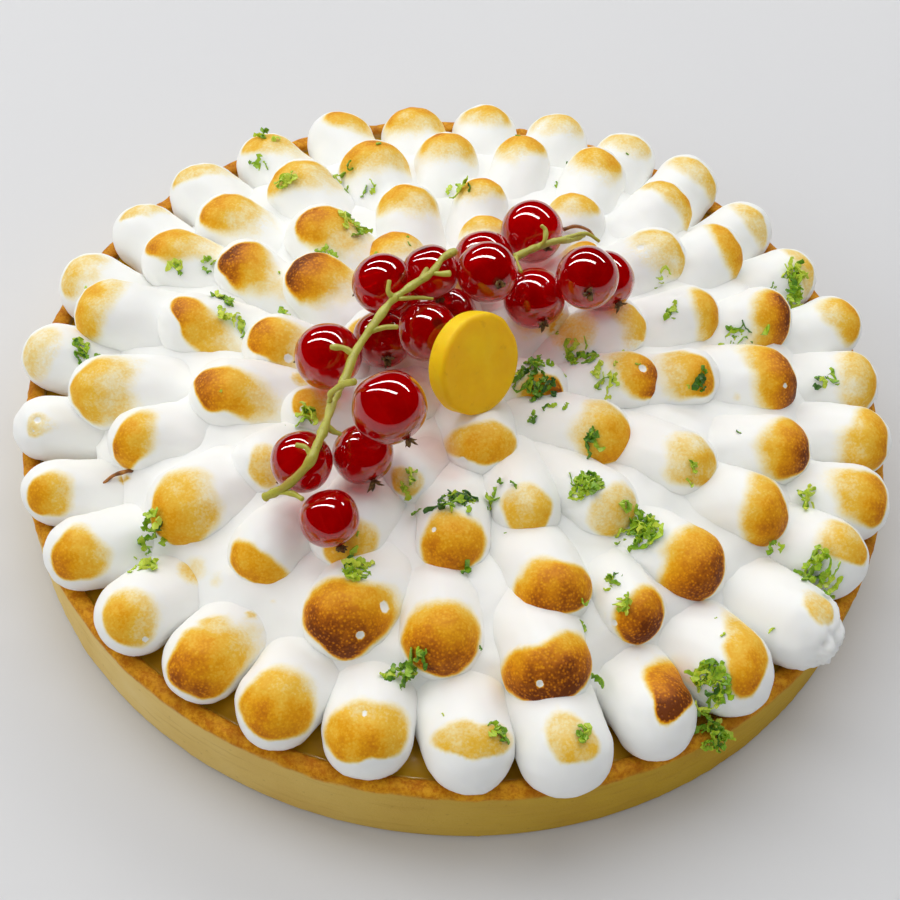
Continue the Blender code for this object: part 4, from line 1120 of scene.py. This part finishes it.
# ---- Light, floor and camera ----
# A plain pale floor, a large soft light behind the left shoulder, a long lamp above the back and
# another overhead that draw the streaks on the berries, and a pale room all round.
def floor_look():
    look, tree, shader, place = new_look("plain_floor")
    drifts = cloud(tree, place, 3.0, 2.0)
    colour = shades(tree, drifts, ((0.3, swatch(216, 216, 218)), (0.7, swatch(220, 220, 221))))
    tree.links.new(colour, shader.inputs["Base Color"])
    shader.inputs["Roughness"].default_value = 0.8
    return look


floor_mesh = bpy.data.meshes.new("floor")
floor_mesh.from_pydata([(-3, -3, 0), (3, -3, 0), (3, 3, 0), (-3, 3, 0)], [], [(0, 1, 2, 3)])
floor_mesh.materials.append(floor_look())
floor = bpy.data.objects.new("floor", floor_mesh)
bpy.context.scene.collection.objects.link(floor)


def lamp(name, start, end, width, glow, colour, lights_up=True):
    """A long lamp from one place to another that faces the pie; glow is its brightness per area. It
    either lights the pie softly or only glints on what is glossy."""
    start, end = Vector(start), Vector(end)
    along = (end - start).normalized()
    away = (start + end) / 2 - Vector((0, 0, 0.03))
    away = (away - along * away.dot(along)).normalized()
    light = bpy.data.lights.new(name, "AREA")
    light.shape = "RECTANGLE"
    light.size, light.size_y = (end - start).length, width
    light.energy = glow * math.pi * light.size * light.size_y
    light.color = colour
    hung = bpy.data.objects.new(name, light)
    turn = Matrix((along, away.cross(along), away)).transposed()
    hung.matrix_world = Matrix.Translation((start + end) / 2) @ turn.to_4x4()
    hung.visible_diffuse, hung.visible_glossy = lights_up, not lights_up
    bpy.context.scene.collection.objects.link(hung)


lamp("back_tube", (-2.00, 1.88, 1.0), (1.18, 0.82, 1.0), 0.12, 18.0, (1.0, 0.99, 0.97), lights_up=False)
lamp("over_tube", (-2.34, 0.90, 1.0), (0.33, 0.155, 1.0), 0.12, 18.0, (1.0, 0.99, 0.97), lights_up=False)
lamp("back_window", (-2.00, 1.88, 1.0), (1.18, 0.82, 1.0), 0.50, 2.4, (1.0, 0.99, 0.97))
lamp("over_window", (-2.34, 0.90, 1.0), (0.33, 0.155, 1.0), 0.50, 2.3, (1.0, 0.99, 0.97))
lamp("left_fill", (-2.2, 0.4, 1.0), (-0.9, -1.9, 1.0), 1.0, 1.25, (1.0, 0.99, 0.97))

world = bpy.data.worlds.new("pale_room")
world.use_nodes = True
world.node_tree.nodes["Background"].inputs["Color"].default_value = (0.93, 0.96, 1.0, 1.0)
world.node_tree.nodes["Background"].inputs["Strength"].default_value = 0.40
world.cycles_visibility.glossy = False
bpy.context.scene.world = world
bpy.context.scene.view_settings.view_transform = "Standard"

CAMERA_ELEVATION = math.radians(52.27)
CAMERA_DISTANCE = 3.555 * PIE_RADIUS
CAMERA_ROLL = math.radians(5.12)
CAMERA_AIM = Vector((-0.0094, -0.0038, 0.0)) * PIE_RADIUS
camera_data = bpy.data.cameras.new("camera")
camera_data.lens = 58
camera_data.sensor_width = 36
camera_data.clip_start = 0.005
camera = bpy.data.objects.new("camera", camera_data)
back = Vector((0, -math.cos(CAMERA_ELEVATION), math.sin(CAMERA_ELEVATION)))
level = Vector((1, 0, 0))
upright = back.cross(level)
right = math.cos(CAMERA_ROLL) * level + math.sin(CAMERA_ROLL) * upright
over = -math.sin(CAMERA_ROLL) * level + math.cos(CAMERA_ROLL) * upright
camera.matrix_world = Matrix.Translation(CAMERA_AIM + back * CAMERA_DISTANCE) @ Matrix(
    [[right[k], over[k], back[k]] for k in range(3)]
).to_4x4()
bpy.context.scene.collection.objects.link(camera)
bpy.context.scene.camera = camera
